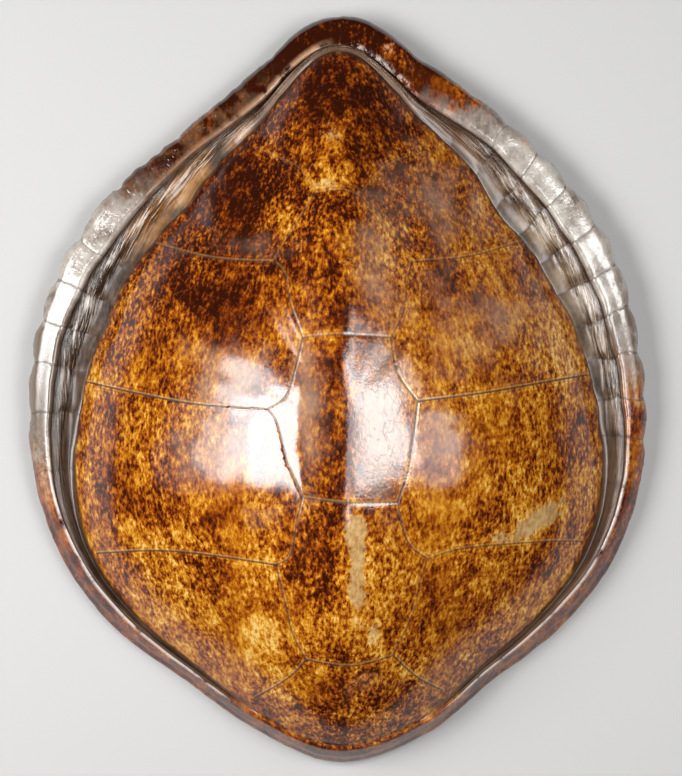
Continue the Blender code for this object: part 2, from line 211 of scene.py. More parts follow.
def outlines(bearing):
    """Radius of the rim without its lobes, of the crest and of the dome's edge at a bearing."""
    rim = around(RIM_RIGHT, RIM_LEFT, bearing)
    crest = rim - around(BAND_RIGHT, BAND_LEFT, bearing)
    edge = crest - around(GUTTER_RIGHT, GUTTER_LEFT, bearing)
    for middle, half_width, depth in EDGE_DENTS:
        edge -= depth * hump(bearing - middle, half_width)
    wander = smooth_step(*WANDER_STARTS, abs(bearing)) * mix(HEAD_WANDER, 1.0, curl(bearing))
    uneven = ring_noise(bearing, EDGE_CELLS, 3.0) + 0.6 * ring_noise(bearing, FINE_EDGE_CELLS, 4.0)
    edge += EDGE_WANDER * wander * uneven
    crest += CREST_WANDER * wander * ring_noise(bearing, CREST_CELLS, 5.0)
    return rim + rim_wear(bearing), crest, edge


def place(radius, bearing, z):
    turn = math.radians(bearing)
    return Vector((radius * math.sin(turn), CENTRE_Y + radius * math.cos(turn), z))


def bearing_of(spot):
    return math.degrees(math.atan2(spot.x, spot.y - CENTRE_Y))


print("rim, crest and dome edge at the right side", [round(radius, 4) for radius in outlines(90.0)])

# %% [markdown]
# ## The dome and the hollow under it
#
# Seen from above, every place on the dome has one height, so the dome is a formula of x and y: a
# full curve from the crown to the edge, less a slight roof shape. The roof is flat along a strip
# over the backbone, and slopes away from both edges of it. The right edge is the keel line. Both
# edges are blunt at the tail and crisp further forward, where the reflections in the varnish end
# at them. The hollow is the dome again, one wall thickness lower, with a backbone ridge and ribs.

# %% Height of the dome
def hinge(distance, rounding):
    """0 on one side of a line and the distance on the other, with a rounded bend between."""
    return 0.5 * (math.hypot(distance, rounding) + distance - rounding)


def roof_drop(x, y):
    """How far the roof shape lies below the keel line."""
    keel = KEEL_DRIFT * smooth_step(KEEL_DRIFTS_FROM, KEEL_DRIFTS_TO, y)
    strip = KEEL_STRIP * smooth_step(STRIP_NARROWS_TO, STRIP_NARROWS_FROM, y)
    rounding = mix(KEEL_SHARP, KEEL_BLUNT, smooth_step(*KEEL_BLUNTS, y))
    right = hinge(x - keel, rounding)
    left = hinge(keel - strip - x, rounding)
    return ROOF_SLOPE * (right + left) + STRIP_SLOPE * hinge(keel - x, rounding)


def dome_height(x, y):
    north = y - CENTRE_Y
    bearing = math.degrees(math.atan2(x, north))
    share = min(1.0, math.hypot(x, north) / outlines(bearing)[2])
    edge = height(EDGE_HEIGHT, bearing)
    bulge = 1.0 - share ** height(FULLNESS, bearing)
    return edge + (CROWN_HEIGHT - edge) * bulge - roof_drop(x, y) * (1.0 - share * share)


def dome_point(share, bearing):
    spot = place(share * outlines(bearing)[2], bearing, 0.0)
    spot.z = dome_height(spot.x, spot.y)
    return spot


# %% Height of the hollow
SPINE_RIDGE, SPINE_WIDTH = 0.006, 0.011
RIB_RIDGE, RIB_SPACING, RIB_SWEEP, RIBS_START = 0.0025, 0.062, 1.0, 0.03
SLOPE_STEP = 0.001


def rib_relief(x, y):
    """Extra thickness under the dome: the backbone's ridge and the ribs on both sides of it."""
    spine = SPINE_RIDGE * hump(x, SPINE_WIDTH)
    along = (y - CENTRE_Y) * (1.0 - RIB_SWEEP * abs(x)) / RIB_SPACING
    rib = 0.5 + 0.5 * math.cos(2.0 * math.pi * along)
    return spine + RIB_RIDGE * rib * smooth_step(0.0, RIBS_START, abs(x))


def hollow_point(share, bearing):
    spot = place(share * (outlines(bearing)[2] - WALL), bearing, 0.0)
    x, y, step = spot.x, spot.y, SLOPE_STEP
    rise_x = (dome_height(x + step, y) - dome_height(x - step, y)) / (2.0 * step)
    rise_y = (dome_height(x, y + step) - dome_height(x, y - step)) / (2.0 * step)
    thickness = WALL * math.sqrt(1.0 + rise_x**2 + rise_y**2)
    spot.z = dome_height(x, y) - thickness - rib_relief(x, y) * (1.0 - share**4)
    return spot


print("crown", round(dome_height(KEEL_DRIFT, CENTRE_Y), 4), "hollow", round(hollow_point(0.0, 0.0).z, 4))

# %% [markdown]
# ## The section of the rim
#
# Cut across, the rim drops steeply from the dome's edge into a gutter, rises to a lip, dips into a
# narrow crease, and climbs to a crest. From there it runs over the outer band and round under it
# to the flat land that the shell rests on. Thirteen stations fix that section at each bearing. The
# solid model joins its stations with flat facets; here a centripetal Catmull-Rom curve runs
# through them, which stays smooth where close stations meet far ones.

# %% Stations of the section
def lift(bearing):
    """Height of the underside of the rim: 0 where the shell rests on the ground."""
    turn = abs(bearing)
    tail = TAIL_LIFT * smooth_step(TAIL_LIFT_FROM, 0.0, turn)
    head = HEAD_LIFT * smooth_step(HEAD_LIFT_FROM, 180.0, turn)
    return tail + head


FLOOR_FILL = 0.003
CREST_WAVE, CREST_WAVE_CELLS = 0.0012, 30.0
TAIL_BRIDGE, HEAD_BRIDGE = (6.8, 2.4), (158.0, 170.0)


def rim_section(bearing):
    """Stations as (radius, height), from the gutter's foot, over the crest, to the inner wall."""
    rim, crest, edge = outlines(bearing)
    gutter = crest - edge
    curled = curl(bearing)
    # Horn bridges the gutter at the tail tip, and over the neck.
    bridge = smooth_step(*TAIL_BRIDGE, abs(bearing)) + smooth_step(*HEAD_BRIDGE, abs(bearing))
    trough = curled * (1.0 - bridge)
    edge_z = height(EDGE_HEIGHT, bearing)
    crest_z = height(CREST_HEIGHT, bearing)
    crest_z += CREST_WAVE * trough * ring_noise(bearing, CREST_WAVE_CELLS, 6.0)
    floor_z = height(FLOOR_HEIGHT, bearing) + FLOOR_FILL * trough
    floor_z = mix(floor_z, 0.5 * (edge_z + crest_z), bridge)
    rim_z = height(RIM_HEIGHT, bearing)
    ground = lift(bearing)
    fall = crest_z - rim_z
    swell = scallop(bearing)
    # In each mix, the first number is for the rim that slopes down, the second for the curled rim.
    return {
        "gutter_foot": (
            edge + mix(0.16 * gutter, -0.0010, trough),
            mix(floor_z, edge_z, 0.35 - 0.35 * trough),
        ),
        "gutter_floor": (edge + mix(0.38, 0.20, trough) * gutter, floor_z + 0.0004 * trough),
        "gutter_rise": (
            edge + mix(0.62, 0.46, trough) * gutter,
            mix(floor_z, crest_z, 0.45 - 0.35 * trough),
        ),
        "gutter_lip": (
            edge + mix(0.80, 0.66, trough) * gutter,
            mix(floor_z, crest_z, 0.80 - 0.38 * trough),
        ),
        "crease": (crest - mix(0.0005, 0.0018, trough), crest_z - 0.0008 - 0.0078 * trough),
        "crest_line": (crest + 0.0012, crest_z),
        "band_middle": (mix(crest, rim, 0.50), crest_z - mix(0.34, 0.15, curled) * fall),
        "band_shoulder": (rim - 0.0045, rim_z + mix(0.32, 0.68, curled) * fall),
        "outermost": (rim + swell, rim_z),
        "turned_under": (rim + swell - mix(0.0015, 0.005, curled), mix(ground, rim_z - 0.005, curled)),
        "under_band": (mix(rim - 0.006, crest - 0.003, curled), mix(ground, crest_z - 0.014, curled)),
        "land_outside": (mix(rim - 0.011, edge + 0.66 * gutter, curled), ground),
        "land_inside": (mix(rim - 0.017, edge + 0.22 * gutter, curled), ground),
    }


# %% A smooth curve through the stations
# The place along the section is one number: 0 at the crown, 1 at the dome's edge, a whole number
# at each station, and on to the middle of the hollow.
STATION_NAMES = list(rim_section(0.0))
DOME_EDGE = 1.0
CREASE = DOME_EDGE + 1 + STATION_NAMES.index("crease")
LIP = DOME_EDGE + 1 + STATION_NAMES.index("gutter_lip")
CREST_LINE = DOME_EDGE + 1 + STATION_NAMES.index("crest_line")
OUTERMOST = DOME_EDGE + 1 + STATION_NAMES.index("outermost")
LAND = DOME_EDGE + 1 + STATION_NAMES.index("land_outside")
HOLLOW_EDGE = DOME_EDGE + 1 + len(STATION_NAMES)
NEAR_EDGE = 0.97


def flat(spot):
    """A point of the shell as (radius, height) in the plane of its section."""
    return math.hypot(spot.x, spot.y - CENTRE_Y), spot.z


@functools.lru_cache(maxsize=4096)
def section_points(bearing):
    points = [flat(dome_point(NEAR_EDGE, bearing)), flat(dome_point(1.0, bearing))]
    points += rim_section(bearing).values()
    return points + [flat(hollow_point(1.0, bearing)), flat(hollow_point(NEAR_EDGE, bearing))]


def blend_points(start, end, share):
    return [mix(a, b, share) for a, b in zip(start, end)]


def centripetal(p0, p1, p2, p3, share):
    """Point between p1 and p2. Knots spaced by the root of the distance keep it free of loops."""
    t1 = max(1e-3, math.sqrt(math.dist(p0, p1)))
    t2 = t1 + max(1e-3, math.sqrt(math.dist(p1, p2)))
    t3 = t2 + max(1e-3, math.sqrt(math.dist(p2, p3)))
    t = mix(t1, t2, share)
    a1 = blend_points(p0, p1, t / t1)
    a2 = blend_points(p1, p2, (t - t1) / (t2 - t1))
    a3 = blend_points(p2, p3, (t - t2) / (t3 - t2))
    b1 = blend_points(a1, a2, t / t2)
    b2 = blend_points(a2, a3, (t - t1) / (t3 - t1))
    return blend_points(b1, b2, (t - t1) / (t2 - t1))


def rim_point(along, bearing):
    """Point of the rim at a place along its section, between the dome's edge and the hollow's."""
    points = section_points(bearing)
    first = min(int(along - DOME_EDGE), len(points) - 4)
    radius, z = centripetal(*points[first : first + 4], along - DOME_EDGE - first)
    return place(radius, bearing, max(z, lift(bearing)))


print("stations", len(STATION_NAMES), "crest at", CREST_LINE, "hollow edge at", HOLLOW_EDGE)

# %% [markdown]
# ## Weaving the mesh
#
# A disc of even quads has no pole at its middle, so the crown starts as a square grid that is
# pulled round. Its border is then extruded ring by ring: out over the dome, over the rim and back
# into the hollow, whose own middle is a second grid. Two numbers ride on every point, its bearing
# and its place along the section, so any later cut can be put exactly on the surface again.

# %% Pull a square grid into a disc
PATCH_SIDE = 60
PATCH_SHARE = 0.56
DOME_RINGS = 24
HOLLOW_RINGS = 12
RINGS_CROWD = 0.85
WELD = 1e-6


def disc_place(u, v):
    """Share of the radius and bearing for a place on a square grid that is pulled into a disc."""
    if u == 0.0 and v == 0.0:
        return 0.0, 0.0
    if abs(u) > abs(v):
        share, bearing = abs(u), 90.0 - 45.0 * v / u
        return share, bearing if u > 0.0 else bearing - 180.0
    share, bearing = abs(v), 45.0 * u / v
    if v > 0.0:
        return share, bearing
    return share, bearing - 180.0 if bearing > 0.0 else bearing + 180.0


def add_patch(bm, layers, surface, along):
    """Middle of the dome or of the hollow. Returns the edges of its border."""
    grid = bmesh.ops.create_grid(bm, x_segments=PATCH_SIDE, y_segments=PATCH_SIDE, size=1.0)
    for vert in grid["verts"]:
        share, bearing = disc_place(vert.co.x, vert.co.y)
        vert[layers["bearing"]] = bearing
        vert[layers["along"]] = along(share * PATCH_SHARE)
        vert.co = surface(share * PATCH_SHARE, bearing)
    faces = {face for vert in grid["verts"] for face in vert.link_faces}
    return [edge for face in faces for edge in face.edges if edge.is_boundary]


# %% Add a ring, or cut a border in two
def add_ring(bm, layers, border, spot, along):
    """Extrude the border, and put each new point where spot(bearing) says. Returns the new border."""
    made = bmesh.ops.extrude_edge_only(bm, edges=border)["geom"]
    ring = {item for item in made if isinstance(item, bmesh.types.BMVert)}
    for vert in ring:
        vert.co = spot(vert[layers["bearing"]])
        vert[layers["along"]] = along
    edges = [item for item in made if isinstance(item, bmesh.types.BMEdge)]
    return [edge for edge in edges if ring.issuperset(edge.verts)]


def split_border(bm, layers, border, spot):
    """Cut each edge of the border in two, because the rim needs finer columns than the dome."""
    known = {vert for edge in border for vert in edge.verts}
    made = bmesh.ops.subdivide_edges(bm, edges=border, cuts=1)["geom_split"]
    added = {item for item in made if isinstance(item, bmesh.types.BMVert)} - known
    halves = {edge for vert in added for edge in vert.link_edges if edge.is_boundary}
    for vert in added:
        ends = [edge.other_vert(vert) for edge in vert.link_edges if edge in halves]
        start, end = [other[layers["bearing"]] for other in ends]
        turn = (end - start + 180.0) % 360.0 - 180.0
        vert[layers["bearing"]] = (start + 0.5 * turn + 180.0) % 360.0 - 180.0
        vert[layers["along"]] = ends[0][layers["along"]]
        vert.co = spot(vert[layers["bearing"]])
    return list(halves)


# %% The dome or the hollow as one surface
def add_surface(bm, layers, surface, along, rings):
    border = add_patch(bm, layers, surface, along)
    for ring in range(1, rings + 1):
        share = mix(PATCH_SHARE, 1.0, (ring / rings) ** RINGS_CROWD)
        border = add_ring(bm, layers, border, lambda bearing: surface(share, bearing), along(share))
    return split_border(bm, layers, border, lambda bearing: surface(1.0, bearing))


def along_dome(share):
    return share


def along_hollow(share):
    return HOLLOW_EDGE + 1.0 - share


# %% Weave the whole shell
# Rings from each station to the next: close together at the crest, where the section bends most.
RINGS_TO_NEXT = (4, 4, 6, 7, 5, 5, 6, 5, 4, 4, 3, 3, 2, 3)


def weave_shell():
    bm = bmesh.new()
    layers = {name: bm.verts.layers.float.new(name) for name in ("bearing", "along")}
    border = add_surface(bm, layers, hollow_point, along_hollow, HOLLOW_RINGS)
    for station in reversed(range(len(RINGS_TO_NEXT))):
        rings = RINGS_TO_NEXT[station]
        for ring in reversed(range(rings)):
            along = DOME_EDGE + station + ring / rings
            border = add_ring(bm, layers, border, lambda bearing: rim_point(along, bearing), along)
    add_surface(bm, layers, dome_point, along_dome, DOME_RINGS)
    open_verts = [vert for vert in bm.verts if vert.is_boundary]
    bmesh.ops.remove_doubles(bm, verts=open_verts, dist=WELD)
    bmesh.ops.recalc_face_normals(bm, faces=bm.faces)
    return bm, layers


shell_bm, shell_layers = weave_shell()
open_edges = sum(edge.is_boundary for edge in shell_bm.edges)
print("woven", len(shell_bm.faces), "faces, open edges", open_edges)

# %% [markdown]
# ## The seams between the scutes
#
# Horn scutes cover the shell like tiles, and a narrow groove runs where two of them meet: along
# both sides of the row over the backbone, across that row, and out to the rim between the large
# side scutes. Each seam has a strength, because some have worn nearly smooth, and control points,
# which are places seen from above, in metres. Across the rim a seam runs from the gutter over the
# crest to the edge at every notch.

# %% Seams on the dome
SEAMS = {
    "vertebral_5_to_4": (0.45, [(-0.019, 0.158), (0.004, 0.160), (0.018, 0.155)]),
    "vertebral_4_to_3": (0.7, [(-0.028, 0.040), (0.001, 0.042), (0.043, 0.040)]),
    "vertebral_3_to_2": (0.8, [(-0.028, -0.088), (0.005, -0.092), (0.048, -0.092)]),
    "vertebral_2_to_1": (0.85, [(-0.026, -0.222), (0.011, -0.227), (0.045, -0.219)]),
    "left_beside_5": (0.35, [(-0.019, 0.158), (-0.032, 0.179), (-0.048, 0.189), (-0.069, 0.200)]),
    "left_above_4": (0.35, [(-0.052, 0.102), (-0.041, 0.121), (-0.033, 0.133), (-0.019, 0.158)]),
    "left_below_4": (0.6, [(-0.052, 0.102), (-0.043, 0.091), (-0.038, 0.067), (-0.028, 0.040)]),
    "left_above_3": (0.9, [(-0.056, -0.017), (-0.041, -0.007), (-0.035, 0.011), (-0.028, 0.040)]),
    "left_below_3": (1.0, [(-0.056, -0.017), (-0.048, -0.029), (-0.040, -0.060), (-0.028, -0.088)]),
    "left_above_2": (0.65, [(-0.050, -0.143), (-0.038, -0.135), (-0.033, -0.109), (-0.028, -0.088)]),
    "left_below_2": (0.75, [(-0.050, -0.143), (-0.043, -0.173), (-0.037, -0.199), (-0.026, -0.222)]),
    "left_before_1": (0.85, [(-0.026, -0.222), (-0.041, -0.239), (-0.069, -0.259)]),
    "right_beside_5": (0.3, [(0.018, 0.155), (0.033, 0.175), (0.049, 0.187), (0.074, 0.196)]),
    "right_above_4": (0.3, [(0.060, 0.102), (0.053, 0.114), (0.035, 0.137), (0.018, 0.155)]),
    "right_below_4": (0.5, [(0.060, 0.102), (0.056, 0.083), (0.053, 0.061), (0.043, 0.040)]),
    "right_above_3": (0.8, [(0.064, -0.011), (0.051, 0.006), (0.045, 0.022), (0.043, 0.040)]),
    "right_below_3": (1.0, [(0.064, -0.011), (0.062, -0.029), (0.056, -0.067), (0.048, -0.092)]),
    "right_above_2": (0.8, [(0.073, -0.139), (0.058, -0.127), (0.051, -0.109), (0.048, -0.092)]),
    "right_below_2": (0.5, [(0.073, -0.139), (0.067, -0.155), (0.062, -0.181), (0.045, -0.219)]),
    "right_before_1": (1.0, [(0.045, -0.219), (0.065, -0.239), (0.088, -0.254)]),
    "left_costal_4_to_3": (0.65, [(-0.052, 0.102), (-0.084, 0.104), (-0.114, 0.109), (-0.160, 0.123)]),
    "left_costal_3_to_2": (1.0, [(-0.056, -0.017), (-0.112, -0.014), (-0.161, -0.006), (-0.214, 0.005)]),
    "left_costal_2_to_1": (0.9, [(-0.050, -0.143), (-0.113, -0.136), (-0.154, -0.135), (-0.204, -0.140)]),
    "right_costal_4_to_3": (0.6, [(0.060, 0.102), (0.096, 0.106), (0.122, 0.112), (0.154, 0.123)]),
    "right_costal_3_to_2": (0.9, [(0.064, -0.011), (0.115, -0.005), (0.176, 0.005), (0.213, 0.011)]),
    "right_costal_2_to_1": (0.75, [(0.073, -0.139), (0.103, -0.131), (0.167, -0.128), (0.207, -0.130)]),
}
SEAM_STEP = 0.0005


def smooth_path(points):
    """Points every SEAM_STEP or so along a smooth curve through the control points."""
    ends = [points[0]] + list(points) + [points[-1]]
    path = []
    for p0, p1, p2, p3 in zip(ends, ends[1:], ends[2:], ends[3:]):
        steps = max(1, round(math.dist(p1, p2) / SEAM_STEP))
        for step in range(steps):
            spot = [catmull_rom(*values, step / steps) for values in zip(p0, p1, p2, p3)]
            path.append(Vector((spot[0], spot[1], 0.0)))
    return path


# %% Seams across the rim
# The head half shows no lobes, only faint seams, at these bearings.
HEAD_SEAMS_RIGHT = (114.0, 124.5, 135.0, 146.0, 157.0, 169.0)
HEAD_SEAMS_LEFT = (112.0, 123.0, 133.5, 144.0, 155.0, 167.0)
HEAD_SEAM_STRENGTH, HEAD_SEAMS_FADE, TAIL_SEAM_STRENGTH = 0.4, (95.0, 110.0), 0.3
RIM_SEAM_FROM, RIM_SEAM_TO, RIM_SEAM_STEPS = DOME_EDGE + 0.9, OUTERMOST + 0.6, 120
SEAM_SWAY, SWAYS_PER_STATION = 0.8, 0.45


def rim_seam(bearing):
    """A seam over the gutter, the crest and the band at a bearing, swaying a little on its way."""
    path = []
    for step in range(RIM_SEAM_STEPS + 1):
        along = mix(RIM_SEAM_FROM, RIM_SEAM_TO, step / RIM_SEAM_STEPS)
        sway = SEAM_SWAY * noise.noise(Vector((along * SWAYS_PER_STATION, bearing, 0.0)))
        spot = rim_point(along, bearing + sway)
        path.append(Vector((spot.x, spot.y, 0.0)))
    return path


def make_finder(seams):
    """Search tree for the nearest seam point, seen from above, and the strength of each point."""
    points = [(spot, strength) for strength, path in seams for spot in path]
    tree = kdtree.KDTree(len(points))
    for index, (spot, strength) in enumerate(points):
        tree.insert(spot, index)
    tree.balance()
    return tree, [strength for spot, strength in points]


def rim_seam_strength(bearing):
    plain = mix(1.0, HEAD_SEAM_STRENGTH, smooth_step(*HEAD_SEAMS_FADE, abs(bearing)))
    return plain * mix(1.0, TAIL_SEAM_STRENGTH, near_tail(bearing))


rim_bearings = list(NOTCHES_RIGHT + HEAD_SEAMS_RIGHT)
rim_bearings += [-turn for turn in NOTCHES_LEFT[1:] + HEAD_SEAMS_LEFT]
scute_seams = make_finder([(strength, smooth_path(points)) for strength, points in SEAMS.values()])
rim_seams = make_finder([(rim_seam_strength(bearing), rim_seam(bearing)) for bearing in rim_bearings])
print("seams on the dome", len(SEAMS), "and across the rim", len(rim_bearings))

# %% Distance to the nearest seam
FAR_AWAY = 0.05
SEAMS_END = OUTERMOST + 0.7


def nearest_seam(vert, layers):
    """Distance to the nearest seam, its nearest place seen from above, and its strength."""
    along = vert[layers["along"]]
    if along > SEAMS_END:
        return FAR_AWAY, vert.co, 0.0
    tree, strengths = scute_seams if along <= DOME_EDGE else rim_seams
    spot, index, distance = tree.find((vert.co.x, vert.co.y, 0.0))
    return min(distance, FAR_AWAY), spot, strengths[index]


# %% [markdown]
# ## A finer mesh along the seams
#
# A groove two millimetres wide needs points about a millimetre apart, but only there. The edges
# near a seam are cut in two, twice over, and each new point on the dome is put back on the exact
# surface. The rings of the rim are so close together that its new points are near enough, and
# that a narrower belt is cut there. The points next to a seam on the dome are then pulled onto it,
# so the groove's bottom is a clean line of edges.

# %% Cut the edges along the seams
CUT_REACHES, SNAP_REACH = (0.0075, 0.0035), 0.0005
RIM_REACH = 0.60
SNAP_INSIDE = DOME_EDGE - 0.01


def refine(bm, layers, reach):
    """Cut the edges within reach of a seam in two, and within less than that on the rim."""
    near = set()
    for vert in bm.verts:
        share = RIM_REACH if vert[layers["along"]] > DOME_EDGE else 1.0
        if nearest_seam(vert, layers)[0] < reach * share:
            near.add(vert)
    edges = [edge for edge in bm.edges if near.issuperset(edge.verts)]
    before = set(bm.verts)
    bmesh.ops.subdivide_edges(bm, edges=edges, cuts=1, use_grid_fill=True)
    for vert in set(bm.verts) - before:
        if vert[layers["along"]] <= DOME_EDGE:
            vert.co.z = dome_height(vert.co.x, vert.co.y)


def snap_to_seams(bm, layers, reach):
    for vert in bm.verts:
        distance, spot, _ = nearest_seam(vert, layers)
        if distance < reach and vert[layers["along"]] < SNAP_INSIDE:
            vert.co.x, vert.co.y = spot.x, spot.y
            vert.co.z = dome_height(spot.x, spot.y)


for reach in CUT_REACHES:
    refine(shell_bm, shell_layers, reach)
snap_to_seams(shell_bm, shell_layers, SNAP_REACH)
print("refined to", len(shell_bm.faces), "faces")

# %% [markdown]
# ## Relief
#
# The smooth form is only half of the look. Each scute swells a little and sinks at its seam. The
# gutter has lengthwise folds where the horn shrank, and is drawn in where two rim scutes meet. The
# whole surface waves slightly, which breaks up the reflections in the varnish, and the bone
# underneath is uneven. All of it moves points along their normals.

# %% Relief of the dome
SEAM_DEPTH, SEAM_HALF_WIDTH = 0.00035, 0.0006
SCUTE_SINK, SCUTE_SINK_WIDTH = 0.00010, 0.009
WAVE, WAVE_SCALE = 0.0006, 16.0
RIPPLE, RIPPLE_SCALE = 0.00016, 60.0


def seam_relief(distance, strength):
    groove = SEAM_DEPTH * hump(distance, SEAM_HALF_WIDTH)
    sink = SCUTE_SINK * math.exp(-distance / SCUTE_SINK_WIDTH)
    return -strength * (groove + sink)


def dome_relief(spot, distance, strength):
    wave = WAVE * noise.noise(spot * WAVE_SCALE) + RIPPLE * noise.noise(spot * RIPPLE_SCALE)
    return wave + seam_relief(distance, strength)


# %% Relief of the gutter and of the band
FOLD, FOLDS_PER_STATION, FOLD_CELLS = 0.0011, 2.6, 22.0
BULGE, BULGE_CELLS = 0.0020, 28.0
BAND_WAVE, BAND_WAVE_SCALE = 0.0005, 48.0
RIM_SEAM_DEPTH, RIM_SEAM_HALF_WIDTH = 0.0003, 0.0008
PUCKER, PUCKER_HALF_WIDTH = 0.0011, 0.0045
FINE_FOLDS, GUTTER_SEAM = 0.5, 0.5
GUTTER_ZONE = (DOME_EDGE + 0.8, LIP - 1.0, LIP, CREASE + 0.6)
FOLD_ZONE = (LIP - 1.6, LIP - 0.5, LIP + 0.2, CREASE + 0.5)
BAND_ZONE = (CREASE, CREST_LINE + 0.5, OUTERMOST + 1.0, LAND)


def folds(bearing, along):
    """Lengthwise folds of the horn: long round the shell and narrow across the section."""
    layer = along * FOLDS_PER_STATION + 10.0
    fine = ring_noise(bearing, 3.0 * FOLD_CELLS, 2.0 * layer)
    return ring_noise(bearing, FOLD_CELLS, layer) + FINE_FOLDS * fine


def rim_relief(spot, bearing, along, distance, strength):
    curled, on_band = curl(bearing), window(along, *BAND_ZONE)
    in_gutter = curled * window(along, *GUTTER_ZONE)
    fold = FOLD * curled * window(along, *FOLD_ZONE) * folds(bearing, along)
    bulge = BULGE * in_gutter * ring_noise(bearing, BULGE_CELLS, 20.0)
    wave = BAND_WAVE * on_band * noise.noise(spot * BAND_WAVE_SCALE)
    seam = RIM_SEAM_DEPTH * hump(distance, RIM_SEAM_HALF_WIDTH) * mix(GUTTER_SEAM, 1.0, on_band)
    # The gutter is drawn in where two rim scutes meet.
    pucker = PUCKER * in_gutter * (1.0 - on_band) * hump(distance, PUCKER_HALF_WIDTH)
    return fold + bulge + wave - strength * (seam + pucker)


# %% Relief of the hollow
BONE_RELIEF, BONE_SCALE, FINE_BONE_SCALE = 0.0004, 45.0, 140.0


def hollow_relief(spot):
    """Uneven bone."""
    fine = 0.6 * noise.noise(spot * FINE_BONE_SCALE)
    return BONE_RELIEF * (noise.noise(spot * BONE_SCALE) + fine)


# %% Move every point by its relief
# The relief fades to nothing where two zones meet.
DOME_RELIEF_ENDS, RIM_RELIEF_FROM, HOLLOW_RELIEF_FROM = (1.0, 0.97), 0.5, 0.1


def raise_relief(bm, layers):
    bm.normal_update()
    moves = []
    for vert in bm.verts:
        along = vert[layers["along"]]
        distance, spot, strength = nearest_seam(vert, layers)
        vert[layers["seam"]] = distance
        vert[layers["seam_strength"]] = strength
        vert[layers["past_seam"]] = vert.co.y - spot.y
        if along <= DOME_EDGE:
            rise = dome_relief(vert.co, distance, strength) * smooth_step(*DOME_RELIEF_ENDS, along)
        elif along < HOLLOW_EDGE:
            rise = rim_relief(vert.co, bearing_of(vert.co), along, distance, strength)
            rise *= smooth_step(DOME_EDGE, DOME_EDGE + RIM_RELIEF_FROM, along)
        else:
            rise = hollow_relief(vert.co)
            rise *= smooth_step(HOLLOW_EDGE, HOLLOW_EDGE + HOLLOW_RELIEF_FROM, along)
        moves.append((vert, vert.normal * rise))
    for vert, move in moves:
        vert.co += move
        vert.co.z = max(vert.co.z, 0.0)


LAYER_NAMES = ("bearing", "along", "seam", "seam_strength", "past_seam")
for name in LAYER_NAMES[2:]:
    shell_bm.verts.layers.float.new(name)
# New layers move the others, so all are looked up again.
shell_layers = {name: shell_bm.verts.layers.float[name] for name in LAYER_NAMES}
raise_relief(shell_bm, shell_layers)
print("raised the relief of", len(shell_bm.verts), "points")

# %% [markdown]
# ## Tones of the horn
#
# The colour of a shell changes slowly from scute to scute: golden here, nearly black there. Those
# slow changes are stored on the points as one number, the tone, made of soft round spots. Three
# more numbers mark where the horn is dull, with a painted grey sheen under the reflections beside
# the keel, where it is crazed with fine cracks, and where it is worn to a pale tan. The material
# adds the speckle.

# %% Soft spots: x, y, radius across, radius along, turn in degrees, strength
TONES = (
    (-0.120, -0.185, 0.075, 0.045, 35.0, 0.00),
    (-0.160, -0.080, 0.070, 0.100, 0.0, -0.07),
    (-0.065, -0.200, 0.040, 0.030, 0.0, 0.12),
    (-0.200, -0.060, 0.025, 0.045, 0.0, -0.08),
    (-0.150, -0.072, 0.035, 0.024, 0.0, 0.05),
    (-0.095, -0.103, 0.075, 0.013, 0.0, -0.13),
    (-0.140, -0.123, 0.070, 0.010, 0.0, 0.08),
    (-0.149, -0.168, 0.016, 0.005, 15.0, -0.22),
    (-0.130, 0.066, 0.085, 0.050, 0.0, -0.28),
    (-0.150, 0.034, 0.040, 0.016, 0.0, 0.12),
    (-0.100, 0.150, 0.060, 0.060, -45.0, -0.47),
    (-0.044, 0.137, 0.020, 0.013, 0.0, 0.22),
    (0.000, 0.235, 0.075, 0.070, 0.0, -0.45),
    (-0.010, 0.186, 0.014, 0.024, 0.0, 0.20),
    (0.000, 0.300, 0.080, 0.040, 0.0, -0.25),
    (0.000, 0.110, 0.040, 0.055, 0.0, -0.14),
    (-0.010, -0.150, 0.035, 0.060, 0.0, -0.10),
    (0.095, 0.150, 0.050, 0.050, 45.0, -0.12),
    (0.110, 0.060, 0.060, 0.040, 0.0, 0.02),
    (0.137, -0.060, 0.045, 0.028, 0.0, 0.05),
    (0.190, -0.060, 0.022, 0.055, 0.0, -0.06),
    (0.105, -0.106, 0.042, 0.014, 0.0, -0.15),
    (0.130, -0.185, 0.065, 0.040, -35.0, -0.05),
    (0.008, -0.265, 0.060, 0.035, 0.0, -0.15),
    (0.032, -0.028, 0.022, 0.060, 0.0, -0.48),
    (-0.066, -0.038, 0.038, 0.040, 0.0, -0.28),
)
# Where the horn is dull and greyish, as under old varnish, and where a grey taupe is a painted sheen
# under the reflections beside the keel.
DULL_AND_SHEEN_SPOTS = (
    (0.125, 0.055, 0.080, 0.055, 0.0, 0.45),
    (0.080, 0.160, 0.050, 0.050, 0.0, 0.45),
    (-0.025, -0.020, 0.010, 0.075, 0.0, 0.60),
    (-0.008, -0.030, 0.012, 0.060, 0.0, 0.18),
    (0.085, -0.040, 0.030, 0.032, 0.0, 0.45),
    (0.033, -0.030, 0.018, 0.060, 0.0, 1.00),
    (-0.085, 0.010, 0.045, 0.030, 0.0, 0.58),
    (-0.105, -0.048, 0.040, 0.034, 0.0, 0.42),
    (-0.060, -0.108, 0.030, 0.016, 0.0, 0.35),
    (0.030, 0.105, 0.018, 0.050, 0.0, 0.45),
    (-0.075, 0.115, 0.050, 0.014, 0.0, 0.40),
    (0.020, -0.245, 0.030, 0.020, 0.0, 0.20),
)
